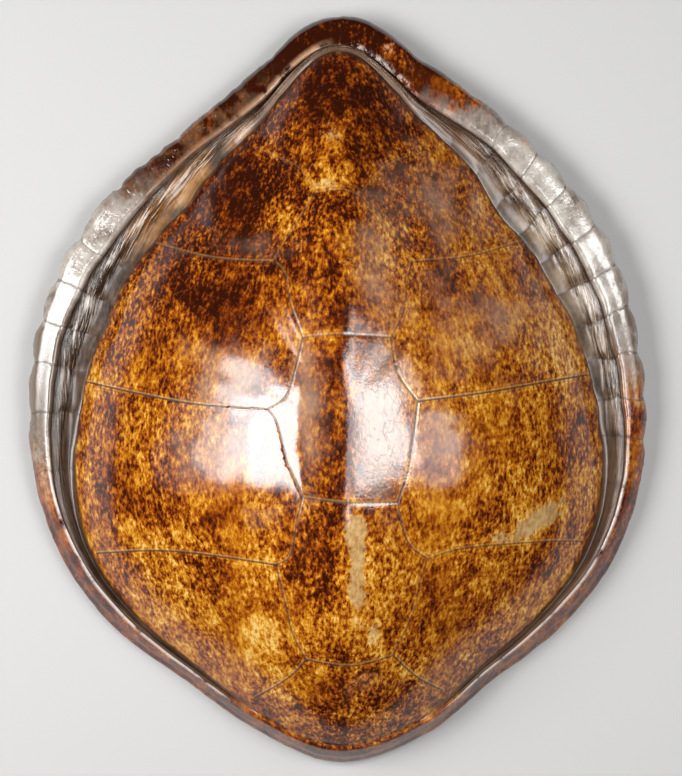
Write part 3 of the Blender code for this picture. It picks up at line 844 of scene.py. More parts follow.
# Where the varnish and the horn under it are crazed with fine cracks.
CRAZED_SPOTS = (
    (0.032, -0.025, 0.026, 0.066, 0.0, 1.0),
    (-0.075, 0.000, 0.050, 0.050, 0.0, 0.4),
    (0.020, 0.100, 0.040, 0.050, 0.0, 0.4),
)
PALE_SPOTS = (
    (0.0150, -0.152, 0.0090, 0.040, 0.0, 1.25),
    (0.0150, -0.112, 0.0110, 0.016, 0.0, 0.9),
    (-0.006, 0.209, 0.013, 0.013, 0.0, 0.8),
    (-0.010, 0.166, 0.020, 0.009, 0.0, 0.8),
    (0.008, 0.096, 0.012, 0.020, 0.0, 0.6),
    (0.168, -0.108, 0.032, 0.012, -28.0, 1.25),
    (0.130, -0.124, 0.016, 0.008, 0.0, 0.6),
    (0.066, 0.035, 0.020, 0.022, 0.0, 0.45),
    (-0.062, -0.205, 0.026, 0.018, -30.0, 0.65),
    (0.030, -0.200, 0.009, 0.018, 0.0, 0.8),
    (-0.030, 0.195, 0.008, 0.012, 0.0, 0.4),
    (-0.105, 0.020, 0.035, 0.018, 0.0, 0.35),
    (-0.052, 0.135, 0.016, 0.016, 0.0, 0.45),
    (0.055, -0.235, 0.026, 0.010, 30.0, 0.4),
    (0.042, 0.285, 0.012, 0.008, 0.0, 0.36),
    (0.001, 0.284, 0.011, 0.006, 0.0, 0.8),
)


def spot_sum(spots, place_on_shell):
    total = 0.0
    for x, y, across, length, turn, strength in spots:
        offset = Vector((place_on_shell.x - x, place_on_shell.y - y))
        offset = Matrix.Rotation(math.radians(turn), 2) @ offset
        total += strength * math.exp(-((offset.x / across) ** 2) - (offset.y / length) ** 2)
    return total


# %% Store the tones on the points
def store_tones(bm, names):
    layers = {name: bm.verts.layers.float[name] for name in names}
    for vert in bm.verts:
        for name, layer in layers.items():
            vert[layer] = spot_sum(SPOTS[name], vert.co)


SPOTS = {"tone": TONES, "dull": DULL_AND_SHEEN_SPOTS, "crazed": CRAZED_SPOTS, "pale": PALE_SPOTS}
for name in SPOTS:
    shell_bm.verts.layers.float.new(name)
store_tones(shell_bm, SPOTS)
print("tones of", sum(len(spots) for spots in SPOTS.values()), "soft spots")

# %% [markdown]
# ## From the bmesh to the finished piece
#
# The mesh is shifted and, where its finer detail reaches past the imported model's box, made a hair
# smaller, so that the piece fills the same box. Faces with more than four corners are left over
# from the cuts along the seams; they are split into triangles. The piece then takes the place of
# the imported solid.

# %% Fit the piece into the imported box
def fit_to_box(bm, low, high):
    """Shift and scale the mesh so that its outline fills the box and its foot is on the ground."""
    corners = [vert.co for vert in bm.verts]
    own_low = Vector([min(corner[axis] for corner in corners) for axis in range(3)])
    own_high = Vector([max(corner[axis] for corner in corners) for axis in range(3)])
    sizes = [(high[axis] - low[axis]) / (own_high[axis] - own_low[axis]) for axis in range(3)]
    scale = [min(1.0, size) for size in sizes]
    middle = (own_low + own_high) / 2.0
    middle.z = own_low.z
    target = (low + high) / 2.0
    target.z = low.z
    about_middle = Matrix.Diagonal((*scale, 1.0)) @ Matrix.Translation(-middle)
    bmesh.ops.transform(bm, matrix=Matrix.Translation(target) @ about_middle, verts=bm.verts)
    return target - middle, scale


shift, scale = fit_to_box(shell_bm, *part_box("carapace"))
print("shifted by", [round(value, 4) for value in shift])
print("scaled by", [round(value, 4) for value in scale])

# %% Make the object
many_sided = [face for face in shell_bm.faces if len(face.verts) > 4]
bmesh.ops.triangulate(shell_bm, faces=many_sided)
bmesh.ops.recalc_face_normals(shell_bm, faces=shell_bm.faces)
shell_mesh = bpy.data.meshes.new("varnished_shell")
shell_bm.to_mesh(shell_mesh)
shell_bm.free()
shell_mesh.shade_smooth()
shell = bpy.data.objects.new("varnished_shell", shell_mesh)
bpy.context.scene.collection.objects.link(shell)
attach(shell, "root")
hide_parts("carapace")
shell_mesh.calc_loop_triangles()
print("shell", len(shell_mesh.loop_triangles), "triangles")

# %% [markdown]
# ## A small language for shader maths
#
# A material is a graph, but sums are easier to read as sums. A Wire is one output socket, and the
# ordinary operators on it add Math nodes. Its other methods add what is used again and again: a
# smooth rise from 0 to 1, a window made of two of them, a ramp of colours, and a mix of two
# colours. The Bench holds the material's node tree and adds every node: it takes the node's type,
# its settings, and what goes into its sockets.

# %% Wires
class Wire:
    """One output socket. Sums with numbers or other wires add Math nodes."""

    def __init__(self, bench, socket):
        self.bench = bench
        self.socket = socket

    def math(self, operation, *values):
        return self.bench.add("ShaderNodeMath", {"operation": operation}, dict(enumerate(values)))

    def __add__(self, other):
        return self.math("ADD", self, other)

    def __sub__(self, other):
        return self.math("SUBTRACT", self, other)

    def __rsub__(self, other):
        return self.math("SUBTRACT", other, self)

    def __mul__(self, other):
        return self.math("MULTIPLY", self, other)

    def __truediv__(self, other):
        return self.math("DIVIDE", self, other)

    def __pow__(self, other):
        return self.math("POWER", self, other)

    __radd__ = __add__
    __rmul__ = __mul__

    def rise(self, start, end):
        """0 up to start, 1 from end on, and smooth between them. Start may be above end."""
        settings = {"interpolation_type": "SMOOTHSTEP"}
        sockets = {"Value": self, "From Min": start, "From Max": end}
        return self.bench.add("ShaderNodeMapRange", settings, sockets, "Result")

    def window(self, start, full, fade, end):
        """1 between full and fade, 0 outside start and end, and smooth on the way."""
        return self.rise(start, full) * self.rise(end, fade)

    def ramp(self, stops):
        """The colour of a ramp at this value."""
        return self.bench.add("ShaderNodeValToRGB", {"stops": stops}, {"Fac": self}, "Color")

    def mix(self, first, second):
        """The first colour where this is 0, and the second where it is 1."""
        sockets = {"Factor_Float": self, "A_Color": first, "B_Color": second}
        return self.bench.add("ShaderNodeMix", {"data_type": "RGBA"}, sockets, "Result_Color")


# %% The bench that the wires lie on
class Bench:
    """The node tree of one material, and the wires that say where on the shell a point is."""

    def __init__(self, material):
        self.tree = material.node_tree
        self.where = self.add("ShaderNodeTexCoord", {}, {}, "Object")
        self.x = self.add("ShaderNodeSeparateXYZ", {}, {"Vector": self.where}, "X")
        self.y = self.add("ShaderNodeSeparateXYZ", {}, {"Vector": self.where}, "Y")
        self.along, self.seam = self.stored("along"), self.stored("seam")

    def add(self, kind, settings, sockets, output=0):
        """Node of a kind: settings first, then a value or a wire for each socket."""
        node = self.tree.nodes.new(kind)
        for name, value in settings.items():
            if name == "stops":
                self.set_stops(node.color_ramp, value)
            else:
                setattr(node, name, value)
        for key, value in sockets.items():
            self.feed(self.find(node.inputs, key), value)
        return Wire(self, self.find(node.outputs, output))

    def find(self, sockets, key):
        if isinstance(key, int):
            return sockets[key]
        return next(socket for socket in sockets if key in (socket.identifier, socket.name))

    def feed(self, socket, value):
        if isinstance(value, Wire):
            self.tree.links.new(value.socket, socket)
        else:
            socket.default_value = value

    def set_stops(self, ramp, stops):
        while len(ramp.elements) < len(stops):
            ramp.elements.new(0.5)
        for element, (position, shade) in zip(ramp.elements, stops):
            element.position = position
            element.color = (*shade, 1.0)

    def stored(self, name):
        """A number that rides on the points of the mesh."""
        return self.add("ShaderNodeAttribute", {"attribute_name": name}, {}, "Fac")

    def moved(self, turn, stretch):
        """Coordinates turned about the vertical and stretched."""
        turn = (0.0, 0.0, math.radians(turn))
        sockets = {"Vector": self.where, "Rotation": turn, "Scale": stretch}
        return self.add("ShaderNodeMapping", {}, sockets, "Vector")

    def grain(self, scale, detail=2.0, roughness=0.5, where=None):
        """Noise around 0.5 whose features are about half of 1 / scale across."""
        sockets = {"Scale": scale, "Detail": detail, "Roughness": roughness}
        sockets["Vector"] = where or self.where
        return self.add("ShaderNodeTexNoise", {}, sockets, "Fac")


def colour(red, green, blue):
    return (red, green, blue, 1.0)


# %% [markdown]
# ## The speckle of the horn
#
# Turtle horn is translucent amber with dark brown specks, one to three millimetres across and
# drawn out in the direction of growth: lengthwise near the keel, and leaning outwards on the
# sides. A fine grain of noise for each direction is mixed by the place, and two slower grains
# gather the specks into clusters and clouds. A ramp then turns the result from dark brown through
# orange and gold to the pale tan of worn horn.

# %% Speckle as one number
SPECK_SCALE, SPECK_STRETCH = 370.0, (1.0, 0.55, 0.8)
LEAN, LEAN_FROM, LEAN_TO = 24.0, 0.06, 0.11
CLUSTER_SCALE, CLUSTER_CONTRAST = 105.0, 1.15
CLOUD_SCALE, CLOUD_CONTRAST = 18.0, 1.05
CRISP_SCALE, CRISP_LEAST, CRISP_MORE = 11.0, 1.4, 0.9
HORN_MIDDLE = 0.48


def speckle(bench):
    middle, left, right = (
        bench.grain(SPECK_SCALE, 2.5, 0.62, bench.moved(lean, SPECK_STRETCH))
        for lean in (0.0, LEAN, -LEAN)
    )
    on_left = bench.x.rise(-LEAN_FROM, -LEAN_TO)
    on_right = bench.x.rise(LEAN_FROM, LEAN_TO)
    fine = middle * (1.0 - on_left - on_right) + left * on_left + right * on_right
    cluster = bench.grain(CLUSTER_SCALE, 3.0, 0.55, bench.moved(0.0, SPECK_STRETCH))
    cloud = bench.grain(CLOUD_SCALE, 3.0, 0.55)
    slow = (cluster - 0.5) * CLUSTER_CONTRAST + (cloud - 0.5) * CLOUD_CONTRAST
    # The contrast of the specks changes from place to place.
    crisp = bench.grain(CRISP_SCALE).rise(0.30, 0.66) * CRISP_MORE + CRISP_LEAST
    return (fine - 0.5) * crisp + slow + HORN_MIDDLE


HORN_STOPS = (
    (0.00, (0.024, 0.0035, 0.0004)),
    (0.22, (0.112, 0.0170, 0.0008)),
    (0.42, (0.262, 0.0640, 0.0025)),
    (0.60, (0.400, 0.1430, 0.0060)),
    (0.78, (0.530, 0.2500, 0.0240)),
    (1.00, (0.650, 0.4200, 0.1300)),
)

# %% [markdown]
# ## One finish for the whole shell
#
# The place along the section tells the zones apart: the dome, the gutter, the outer band and the
# bare bone underneath. Each zone has its own colour, and one after the other they are laid over
# the horn. Pairs and fours of numbers below are the places where something sets in and ends, in
# metres across or along the shell, or in stations of the section. The varnish is a clear coat that
# is thin at the foot of the shell, dusty in the seams, and missing from the bone.

# %% Seam lines
SEAM_DARK = colour(0.028, 0.018, 0.012)
SEAM_PALE = colour(0.46, 0.28, 0.11)
LINE = (0.0011, 0.0004)
PALE_EDGE, PAST_SEAM = (0.0030, 0.0012), (-0.0002, 0.0008)


def seam_line(bench, width=LINE):
    """The seams as lines, fainter where they have worn smooth."""
    return bench.seam.rise(*width) * bench.stored("seam_strength")


def with_seams(bench, horn):
    """Lay a thin dark line along the seams, and a pale edge on its tail side."""
    edge = seam_line(bench, PALE_EDGE) * bench.stored("past_seam").rise(*PAST_SEAM)
    horn = (edge * 0.35).mix(horn, SEAM_PALE)
    return (seam_line(bench) * 0.9).mix(horn, SEAM_DARK)


# %% Growth lines and cracks
GROWTH_LINES_PER_METRE, GROWTH_BELT = 420.0, (0.018, 0.004)
CRACK_SCALE, CRACK_WIDTH, CRACK_STRETCH = 150.0, (0.05, 0.015), (1.0, 0.45, 0.7)
CRACK_TURN, CRACK_BEND = 12.0, 0.012


def growth_lines(bench):
    """Faint lines along the seams, where each scute grew at its edge."""
    sockets = {"W": bench.seam * GROWTH_LINES_PER_METRE, "Scale": 1.0, "Detail": 2.0}
    lines = bench.add("ShaderNodeTexNoise", {"noise_dimensions": "1D"}, sockets, "Fac")
    return (lines - 0.5) * bench.seam.rise(*GROWTH_BELT)


def cracks(bench):
    """Network of fine cracks: 1 in a crack, 0 beside it."""
    sockets = {"Vector": bench.where, "Scale": 60.0, "Detail": 3.0}
    bend = bench.add("ShaderNodeTexNoise", {}, sockets, "Color")
    sockets = {0: bend, 1: (CRACK_BEND,) * 3, 2: bench.moved(CRACK_TURN, CRACK_STRETCH)}
    bent = bench.add("ShaderNodeVectorMath", {"operation": "MULTIPLY_ADD"}, sockets, "Vector")
    sockets = {"Vector": bent, "Scale": CRACK_SCALE}
    edge = bench.add("ShaderNodeTexVoronoi", {"feature": "DISTANCE_TO_EDGE"}, sockets, "Distance")
    broken = bench.grain(120.0).rise(0.44, 0.56)
    return edge.rise(*CRACK_WIDTH) * broken * bench.stored("crazed")


# %% Colour of the dome
WORN_DARK, WORN_TAN = colour(0.32, 0.185, 0.065), colour(0.47, 0.31, 0.140)
DULL_AND_SHEEN_TAUPE = colour(0.36, 0.235, 0.165)
EDGE_DARKER, STREAK_DARK_AND_SHADE, WORN_LIGHTER = 0.02, 0.10, 0.28
# A darker streak runs over the backbone, and fades out before the tail: partly darker horn, partly
# painted shade on the flat keel strip that mirrors no light.
STREAK_ACROSS, STREAK_FADES = (-0.022, -0.006, 0.007, 0.013), (0.16, 0.04)
DULL_AND_SHEEN_SHARE, WORN_SHARE, CRACK_SHARE = 0.62, 0.85, 0.5


def dome_colour(bench, specks, cracked):
    pale = bench.stored("pale")
    edge_shade = bench.along.rise(0.80, 1.0) * -EDGE_DARKER + growth_lines(bench) * 0.5
    dark_and_shaded_streak = bench.x.window(*STREAK_ACROSS) * bench.y.rise(*STREAK_FADES)
    tone = bench.stored("tone") + edge_shade - dark_and_shaded_streak * STREAK_DARK_AND_SHADE + pale * WORN_LIGHTER
    horn = (specks + tone).ramp(HORN_STOPS)
    smoke = bench.grain(40.0, 3.0, 0.6)
    # Dull greyish horn, and a painted sheen: grey taupe under the reflections beside the keel.
    dull = (bench.stored("dull") + (smoke - 0.5) * 0.8).rise(0.12, 0.85)
    horn = (dull * DULL_AND_SHEEN_SHARE).mix(horn, DULL_AND_SHEEN_TAUPE)
    ragged, blotch = bench.grain(260.0, 3.0, 0.7), bench.grain(70.0)
    worn = (pale + (ragged - 0.5) * 1.3 + (blotch - 0.5) * 0.9).rise(0.62, 0.92)
    horn = (worn * WORN_SHARE).mix(horn, specks.mix(WORN_DARK, WORN_TAN))
    horn = (cracked * CRACK_SHARE).mix(horn, SEAM_DARK)
    return with_seams(bench, horn)


# %% Coordinates that follow the rim
WRINKLE_SLANT = 28.0


def ring_place(bench, per_metre, per_station):
    """Coordinates that run round the shell and along its section, slanting towards the head."""
    x, north = bench.x, bench.y - CENTRE_Y
    reach = (x * x + north * north) ** 0.5
    turn = x.math("ARCTAN2", x, north)
    sockets = {
        "X": x / reach * (MEAN_RADIUS * per_metre),
        "Y": north / reach * (MEAN_RADIUS * per_metre),
        "Z": bench.along * per_station + turn.math("ABSOLUTE", turn) * WRINKLE_SLANT,
    }
    return bench.add("ShaderNodeCombineXYZ", {}, sockets, "Vector")


# %% Horn of the gutter
GUTTER_STOPS = (
    (0.28, (0.030, 0.014, 0.007)),
    (0.43, (0.110, 0.066, 0.037)),
    (0.60, (0.230, 0.162, 0.106)),
    (0.80, (0.370, 0.275, 0.190)),
)
GUTTER_AMBER = (
    (0.25, (0.090, 0.036, 0.008)),
    (0.50, (0.320, 0.140, 0.030)),
    (0.75, (0.520, 0.270, 0.075)),
)
GUTTER_GLINT_SILVER = colour(0.560, 0.530, 0.490)
HEAD_BROWN_SHADE, HEAD_TAN = colour(0.016, 0.007, 0.003), colour(0.180, 0.085, 0.038)
LEFT_GUTTER, LEFT_HEAD, LEFT_AMBER = (-0.02, -0.09), (0.10, -0.02), (0.10, 0.15)
# Beside the dome the horn is smooth, and wrinkled from the middle of the gutter to the lip.
WRINKLED = (LIP - 1.5, LIP - 0.6)
TAUPE_ALONG, LEFT_SHIFT = (-0.06, 0.02, 0.15, 0.22), 0.04


def gutter_horn(bench, specks):
    """Taupe horn with painted silvery highlights on the wrinkles, amber at the left of the tail, and
    brown at both ends, partly painted shade there.
    """
    patches = bench.grain(34.0, 3.0, 0.6)
    streaks = bench.grain(1.0, 3.0, 0.6, ring_place(bench, 34.0, 5.0))
    on_left, wrinkled = bench.x.rise(*LEFT_GUTTER), bench.along.rise(*WRINKLED)
    streaked = wrinkled * 0.75 + on_left * 0.40 + 0.08
    value = patches + (specks - 0.5) * 0.12 + (streaks - 0.5) * streaked
    value = value - on_left * 0.13 - bench.y.rise(*LEFT_HEAD) * on_left * 0.10
    amber = on_left * bench.y.rise(*LEFT_AMBER) * bench.grain(24.0).rise(0.42, 0.56)
    horn = (amber * 0.9).mix(value.ramp(GUTTER_STOPS), (value + 0.06).ramp(GUTTER_AMBER))
    # Silvery streaks along the wrinkles are painted highlights.
    silvery_glint = (streaks + (patches - 0.5) * 0.5).rise(0.52, 0.62) * wrinkled
    horn = (silvery_glint * (0.50 + 0.25 * on_left)).mix(horn, GUTTER_GLINT_SILVER)
    # At both ends the narrow gutter is brown horn, darkened further as painted shade.
    ends = 1.0 - (bench.y - on_left * LEFT_SHIFT).window(*TAUPE_ALONG)
    return (ends * 0.85).mix(horn, value.mix(HEAD_BROWN_SHADE, HEAD_TAN))


# %% Colour of the gutter
# Dark brown: painted shade at the gutter's foot under the dome's edge, in the crease and where the horn
# ends; the same brown marks the joints where two rim scutes cross the gutter.
SHADE_AND_JOINT_BROWN = colour(0.030, 0.013, 0.006)
FOOT_SHADE, FOOT_SHADE_SHARE = (DOME_EDGE + 1.6, DOME_EDGE + 0.5), 0.8
CROSSING, CROSSING_SHARE = (0.0016, 0.0005), 0.55
CREASE_SHADE, CREASE_SHADE_SHARE = (CREASE - 0.5, CREASE - 0.1, CREASE + 0.2, CREASE + 0.6), 0.85


def gutter_colour(bench, specks):
    """The gutter's horn, with painted shade at its foot and in the crease, and a dark line where two rim
    scutes meet.
    """
    horn = (bench.along.rise(*FOOT_SHADE) * FOOT_SHADE_SHARE).mix(gutter_horn(bench, specks), SHADE_AND_JOINT_BROWN)
    horn = (seam_line(bench, CROSSING) * CROSSING_SHARE).mix(horn, SHADE_AND_JOINT_BROWN)
    return (bench.along.window(*CREASE_SHADE) * CREASE_SHADE_SHARE).mix(horn, SHADE_AND_JOINT_BROWN)


# %% Wear and painted glints on the crest
BAND_TAN = colour(0.440, 0.260, 0.155)
CREST_GLINT = colour(0.600, 0.560, 0.510)
TAN_LINE = (CREST_LINE - 0.3, CREST_LINE, CREST_LINE + 0.15, CREST_LINE + 0.6)
GLINT_LINE = (CREST_LINE - 0.5, CREST_LINE - 0.1, CREST_LINE + 0.1, CREST_LINE + 0.45)
TAN_ALONG, GLINT_AT_HEAD = (0.14, 0.19, 0.295, 0.31), (-0.275, -0.245, -0.10, -0.02)


def with_crest_wear_and_glints(bench, band, blotches, specks):
    """Lay a tan line on the crest at the left of the tail, and broken silvery lines of painted highlight
    elsewhere.
    """
    x, y = bench.x, bench.y
    broken = blotches.rise(0.36, 0.50)
    tan = bench.along.window(*TAN_LINE) * x.rise(0.00, -0.02) * broken
    tan = tan * (0.30 + 0.50 * y.rise(0.20, 0.26)) * y.window(*TAN_ALONG)
    # The crest lines at the right of the tail and in the head half are painted silvery highlights.
    right_tail = x.rise(0.005, 0.02) * y.rise(0.15, 0.22)
    ragged = blotches.rise(0.42, 0.60) * specks.rise(0.30, 0.62)
    silvery_glint = y.window(*GLINT_AT_HEAD) * broken + right_tail * ragged * 0.8
    band = (tan * 0.9).mix(band, BAND_TAN)
    return (bench.along.window(*GLINT_LINE) * silvery_glint * 0.7).mix(band, CREST_GLINT)


# %% Colour of the band
SILVER_SHEEN_STOPS = (
    (0.25, (0.140, 0.105, 0.080)),
    (0.50, (0.330, 0.290, 0.252)),
    (0.75, (0.490, 0.450, 0.405)),
)
BAND_OLIVE = colour(0.100, 0.062, 0.030)
HEAD_HALF, LEFT_TAIL, RIGHT_TAIL = (0.00, -0.10), (0.10, 0.16), (0.14, 0.20)
FADING_SHEEN, TAIL_TIP = (-0.14, -0.05, 0.03, 0.10), (0.235, 0.28)
# The silvery sheen, partly painted reflection, starts and ends here along the shell, and further towards
# the tail on the right.
SILVER_FROM, SILVER_TO = (-0.10, -0.02), (0.185, 0.145)
RIGHT_FROM_SHIFT, RIGHT_TO_SHIFT = 0.07, 0.065


def band_colour(bench, specks):
    """Pale worn horn with a painted silvery sheen in the middle of each side, and speckled brown horn at
    both ends.
    """
    y, on_right = bench.y, bench.x.rise(-0.02, 0.02)
    blotches = bench.grain(46.0, 3.0, 0.6)
    left_tail, right_tail = y.rise(*LEFT_TAIL) * (1.0 - on_right), y.rise(*RIGHT_TAIL) * on_right
    # The head half is darkened as painted shade; the tail ends are darker horn.
    darker_and_shaded = y.rise(*HEAD_HALF) * 0.18 + left_tail * 0.36 + right_tail * 0.16
    value = (specks - 0.5) * 0.55 + (blotches - 0.5) * 1.1 + 0.44 - darker_and_shaded
    brown = (left_tail * blotches.rise(0.40, 0.58) * 0.55).mix(value.ramp(HORN_STOPS), BAND_OLIVE)
    # Pale worn horn with a painted silvery sheen where the reflections lie, dimmer where they fade.
    silver_sheen = blotches + (specks - 0.5) * 0.2 - y.window(*FADING_SHEEN) * 0.32
    uneven = y + (blotches - 0.5) * 0.10
    is_silver_sheen = (uneven - on_right * RIGHT_FROM_SHIFT).rise(*SILVER_FROM)
    is_silver_sheen = is_silver_sheen * (uneven - on_right * RIGHT_TO_SHIFT).rise(*SILVER_TO)
    band = is_silver_sheen.mix(brown, silver_sheen.ramp(SILVER_SHEEN_STOPS))
    tip_brown = (specks + (blotches - 0.5) * 1.2 - 0.52).ramp(HORN_STOPS)
    band = with_crest_wear_and_glints(bench, y.rise(*TAIL_TIP).mix(band, tip_brown), blotches, specks)
    worn = (bench.stored("pale") + (specks - 0.5) * 0.6).rise(0.45, 0.75)
    band = (worn * 0.8).mix(band, BAND_TAN)
    return (seam_line(bench) * 0.6).mix(band, SEAM_DARK)


# %% Colour of the bone
BONE_STOPS = (
    (0.30, (0.300, 0.200, 0.110)),
    (0.50, (0.520, 0.400, 0.250)),
    (0.72, (0.680, 0.570, 0.400)),
)


def bone_colour(bench):
    """Bare bone with slow stains and fine pores."""
    stain, pores = bench.grain(14.0, 4.0, 0.6), bench.grain(420.0, 2.0, 0.6)
    return (stain + (pores - 0.5) * 0.35).ramp(BONE_STOPS)


# %% One colour after the other
# Over the neck there is no gutter, and the horn of the dome runs on to the band.
PAST_NECK = (-0.275, -0.245)
PAST_DOME, ON_BAND = (DOME_EDGE + 0.02, DOME_EDGE + 0.3), (CREST_LINE - 0.6, CREST_LINE - 0.2)
HORN_END_SHADE = (DOME_EDGE - 0.010, DOME_EDGE - 0.002, DOME_EDGE + 0.2, DOME_EDGE + 0.7)
HORN_END_SHADE_SHARE = 0.75


def shell_colour(bench, cracked, bare):
    along, gutter_here = bench.along, bench.y.rise(*PAST_NECK)
    specks = speckle(bench)
    surface = dome_colour(bench, specks, cracked)
    gutter = gutter_colour(bench, specks)
    surface = (along.rise(*PAST_DOME) * gutter_here).mix(surface, gutter)
    # A thin line of painted shade where the dome's horn ends over the gutter.
    surface = (along.window(*HORN_END_SHADE) * gutter_here * HORN_END_SHADE_SHARE).mix(surface, SHADE_AND_JOINT_BROWN)
    surface = along.rise(*ON_BAND).mix(surface, band_colour(bench, specks))
    return bare.mix(surface, bone_colour(bench))


# %% The finest relief
WRINKLE_HEIGHT, CRACK_DEPTH, CRAZED_HEIGHT = 0.0014, 0.00006, 0.00022
DENT_DEPTH, PIT_DEPTH = 0.0006, 0.0001
FINE_HEIGHT, FINEST_HEIGHT = 0.00004, 0.000012
WRINKLE_ZONE = (LIP - 1.5, LIP - 0.5, CREASE - 0.3, CREASE + 0.3)


def wrinkles(bench):
    """Wrinkles between the middle of the gutter and the crease, in the tail half."""
    lines = bench.grain(1.0, 3.0, 0.6, ring_place(bench, 30.0, 7.0))
    return lines * bench.along.window(*WRINKLE_ZONE) * bench.y.rise(-0.20, 0.02)


def band_pits(bench):
    """Dents and pits of the worn band, fewer at the tail tip."""
    on_band = bench.along.rise(CREST_LINE - 0.4, CREST_LINE + 0.4)
    on_band = on_band * (1.0 - 0.75 * bench.y.rise(0.20, 0.26))
    pits = bench.grain(240.0).rise(0.42, 0.30) * PIT_DEPTH
    return (bench.grain(85.0, 4.0, 0.6) * DENT_DEPTH - pits) * on_band


def fine_relief(bench, fine, cracked):
    """Height in metres of what is too fine for the mesh."""
    relief = fine * FINE_HEIGHT + bench.grain(900.0, 2.0, 0.6) * FINEST_HEIGHT
    relief = relief + wrinkles(bench) * WRINKLE_HEIGHT - cracked * CRACK_DEPTH
    return relief + band_pits(bench) + bench.stored("crazed") * fine * CRAZED_HEIGHT


# %% How much varnish is left
VARNISHED_GUTTER, VARNISHED_TAIL = (LIP - 1.6, LIP - 0.4), (-0.06, 0.02)
VARNISHED_CREST = (CREST_LINE - 0.9, CREST_LINE - 0.2, CREST_LINE + 0.3, CREST_LINE + 0.8)
THIN_FROM, THIN_SHARE, DUSTY_SHARE = (0.95, 1.0), 0.60, 0.6


def varnish_left(bench):
    """The varnish is thin at the foot of the shell and full of dust in the seams."""
    silver_side = bench.along.rise(*VARNISHED_GUTTER) * bench.y.rise(*VARNISHED_TAIL)
    kept = silver_side + bench.along.window(*VARNISHED_CREST) * (1.0 - silver_side)
    thin = bench.along.rise(*THIN_FROM) * (1.0 - kept)
    return (1.0 - thin * THIN_SHARE) * (1.0 - seam_line(bench) * DUSTY_SHARE)


# %% The varnished finish
BARE_BONE = (OUTERMOST + 1.2, OUTERMOST + 2.2)
GLOSS, FINE_GLOSS, SMEARED_GLOSS = 0.12, 0.08, 0.12
BARE_ROUGHNESS, THIN_ROUGHNESS, COAT = 0.40, 0.38, 0.35


def varnished_finish():
    material = bpy.data.materials.new("varnished_scute")
    material.use_nodes = True
    bench = Bench(material)
    shader = material.node_tree.nodes["Principled BSDF"]
    bare, cracked, left = bench.along.rise(*BARE_BONE), cracks(bench), varnish_left(bench)
    fine, smear = bench.grain(260.0, 3.0, 0.6), bench.grain(30.0, 3.0, 0.6)
    sheen = GLOSS + (fine - 0.5) * FINE_GLOSS + (smear - 0.5) * SMEARED_GLOSS
    roughness = sheen + (1.0 - left) * THIN_ROUGHNESS + bare * BARE_ROUGHNESS
    bench.feed(shader.inputs["Base Color"], shell_colour(bench, cracked, bare))
    bench.feed(shader.inputs["Roughness"], roughness)
    bench.feed(shader.inputs["Coat Weight"], (1.0 - bare) * left * COAT)
    # Old varnish is thick and glossy, and its own fine relief breaks the reflections up.
    shader.inputs["Specular IOR Level"].default_value = 0.58
    shader.inputs["Coat Roughness"].default_value = 0.10
    shader.inputs["Coat IOR"].default_value = 1.5
    sockets = {"Strength": 1.0, "Distance": 1.0, "Height": fine_relief(bench, fine, cracked)}
    bench.feed(shader.inputs["Normal"], bench.add("ShaderNodeBump", {}, sockets, "Normal"))
    return material


finish = varnished_finish()
shell_mesh.materials.append(finish)
print("finish", finish.name, "of", len(finish.node_tree.nodes), "nodes")

# %% [markdown]
# ## Floor, light and camera
#
# The floor is plain and pale. A soft box on each side gives the broad reflections that the varnish
# shows on both sides of the keel, weaker panels beside it let each reflection fade out at its
# ends, and a weak even light fills the shadows. The camera looks straight down from about two
# metres, with the tail at the top.

# %% The floor
FLOOR_HALF_SIDE = 3.0


def pale_floor():
    bm = bmesh.new()
    bmesh.ops.create_grid(bm, x_segments=1, y_segments=1, size=FLOOR_HALF_SIDE)
    mesh = bpy.data.meshes.new("studio_floor")
    bm.to_mesh(mesh)
    bm.free()
    material = bpy.data.materials.new("pale_floor")
    material.use_nodes = True
    shader = material.node_tree.nodes["Principled BSDF"]
    shader.inputs["Base Color"].default_value = colour(0.43, 0.427, 0.420)
    shader.inputs["Roughness"].default_value = 0.85
    mesh.materials.append(material)
    floor = bpy.data.objects.new("studio_floor", mesh)
    bpy.context.scene.collection.objects.link(floor)
    return floor


pale_floor()

# %% The soft boxes
LIT_POINT = Vector((0.0, 0.0, 0.10))


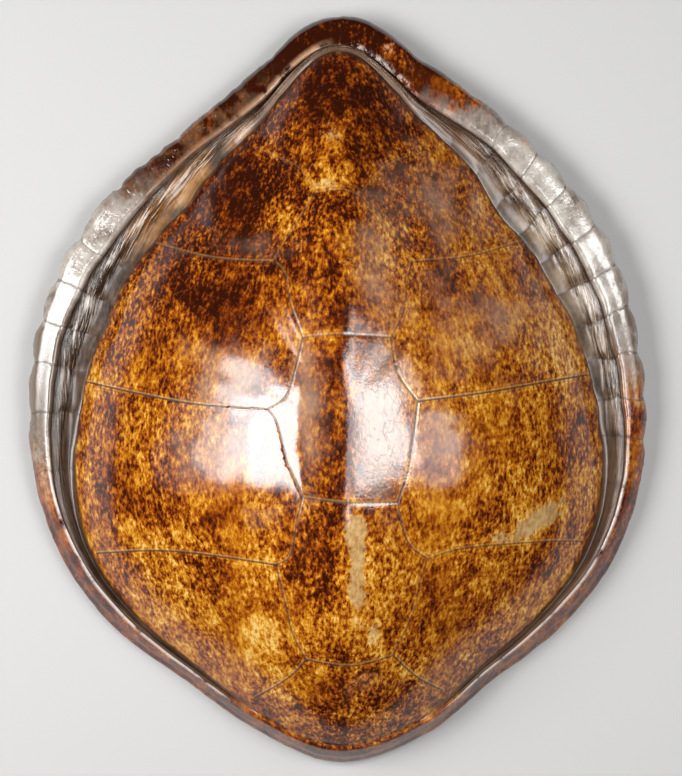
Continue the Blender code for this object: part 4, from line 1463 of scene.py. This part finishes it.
def soft_box(name, where, size, power, shape="RECTANGLE"):
    """A flat light that faces the middle of the shell. Its first size is along the shell."""
    light = bpy.data.lights.new(name, "AREA")
    light.shape = shape
    light.size, light.size_y = size
    light.energy = power
    lamp = bpy.data.objects.new(name, light)
    lamp.location = where
    lamp.rotation_euler = (LIT_POINT - Vector(where)).to_track_quat("-Z", "Y").to_euler()
    bpy.context.scene.collection.objects.link(lamp)


soft_box("right_soft_box", (0.76, 0.06, 1.60), (0.84, 0.50), 15.5)
soft_box("right_tail_panel", (1.05, 0.54, 1.55), (0.40, 0.45), 2.5)
soft_box("right_side_panel", (1.38, -0.16, 1.50), (0.90, 0.70), 5.0, "ELLIPSE")
soft_box("right_top_panel", (0.36, -0.06, 1.60), (1.00, 0.26), 4.0)
soft_box("left_soft_box", (-0.90, -0.01, 1.42), (0.84, 0.50), 21.5)
soft_box("left_middle_panel", (-1.20, -0.01, 1.20), (0.80, 0.25), 3.6)
soft_box("left_tail_panel", (-1.56, 0.63, 1.45), (0.60, 0.90), 11.0, "ELLIPSE")
soft_box("left_side_panel", (-1.62, 0.00, 1.38), (0.90, 0.80), 9.0, "ELLIPSE")
soft_box("left_far_panel", (-2.05, -0.02, 1.34), (1.40, 1.60), 4.0, "ELLIPSE")
print("soft boxes and panels", len(bpy.data.lights))

# %% The even fill
world = bpy.data.worlds.new("even_fill")
world.use_nodes = True
sky = world.node_tree.nodes["Background"]
sky.inputs["Color"].default_value = colour(0.9, 0.95, 1.0)
sky.inputs["Strength"].default_value = 0.03
bpy.context.scene.world = world
bpy.context.scene.view_settings.view_transform = "Standard"

# %% The camera
CAMERA_PLACE = (0.0029, 0.0019, 2.10)
VIEW_HEIGHT_AT_FLOOR = 0.6639

camera_data = bpy.data.cameras.new("camera_from_above")
camera_data.sensor_fit = "VERTICAL"
camera_data.sensor_height = 24.0
camera_data.lens = camera_data.sensor_height * CAMERA_PLACE[2] / VIEW_HEIGHT_AT_FLOOR
camera = bpy.data.objects.new("camera_from_above", camera_data)
camera.location = CAMERA_PLACE
bpy.context.scene.collection.objects.link(camera)
bpy.context.scene.camera = camera
print("camera at", CAMERA_PLACE, "with a lens of", round(camera_data.lens, 1), "mm")
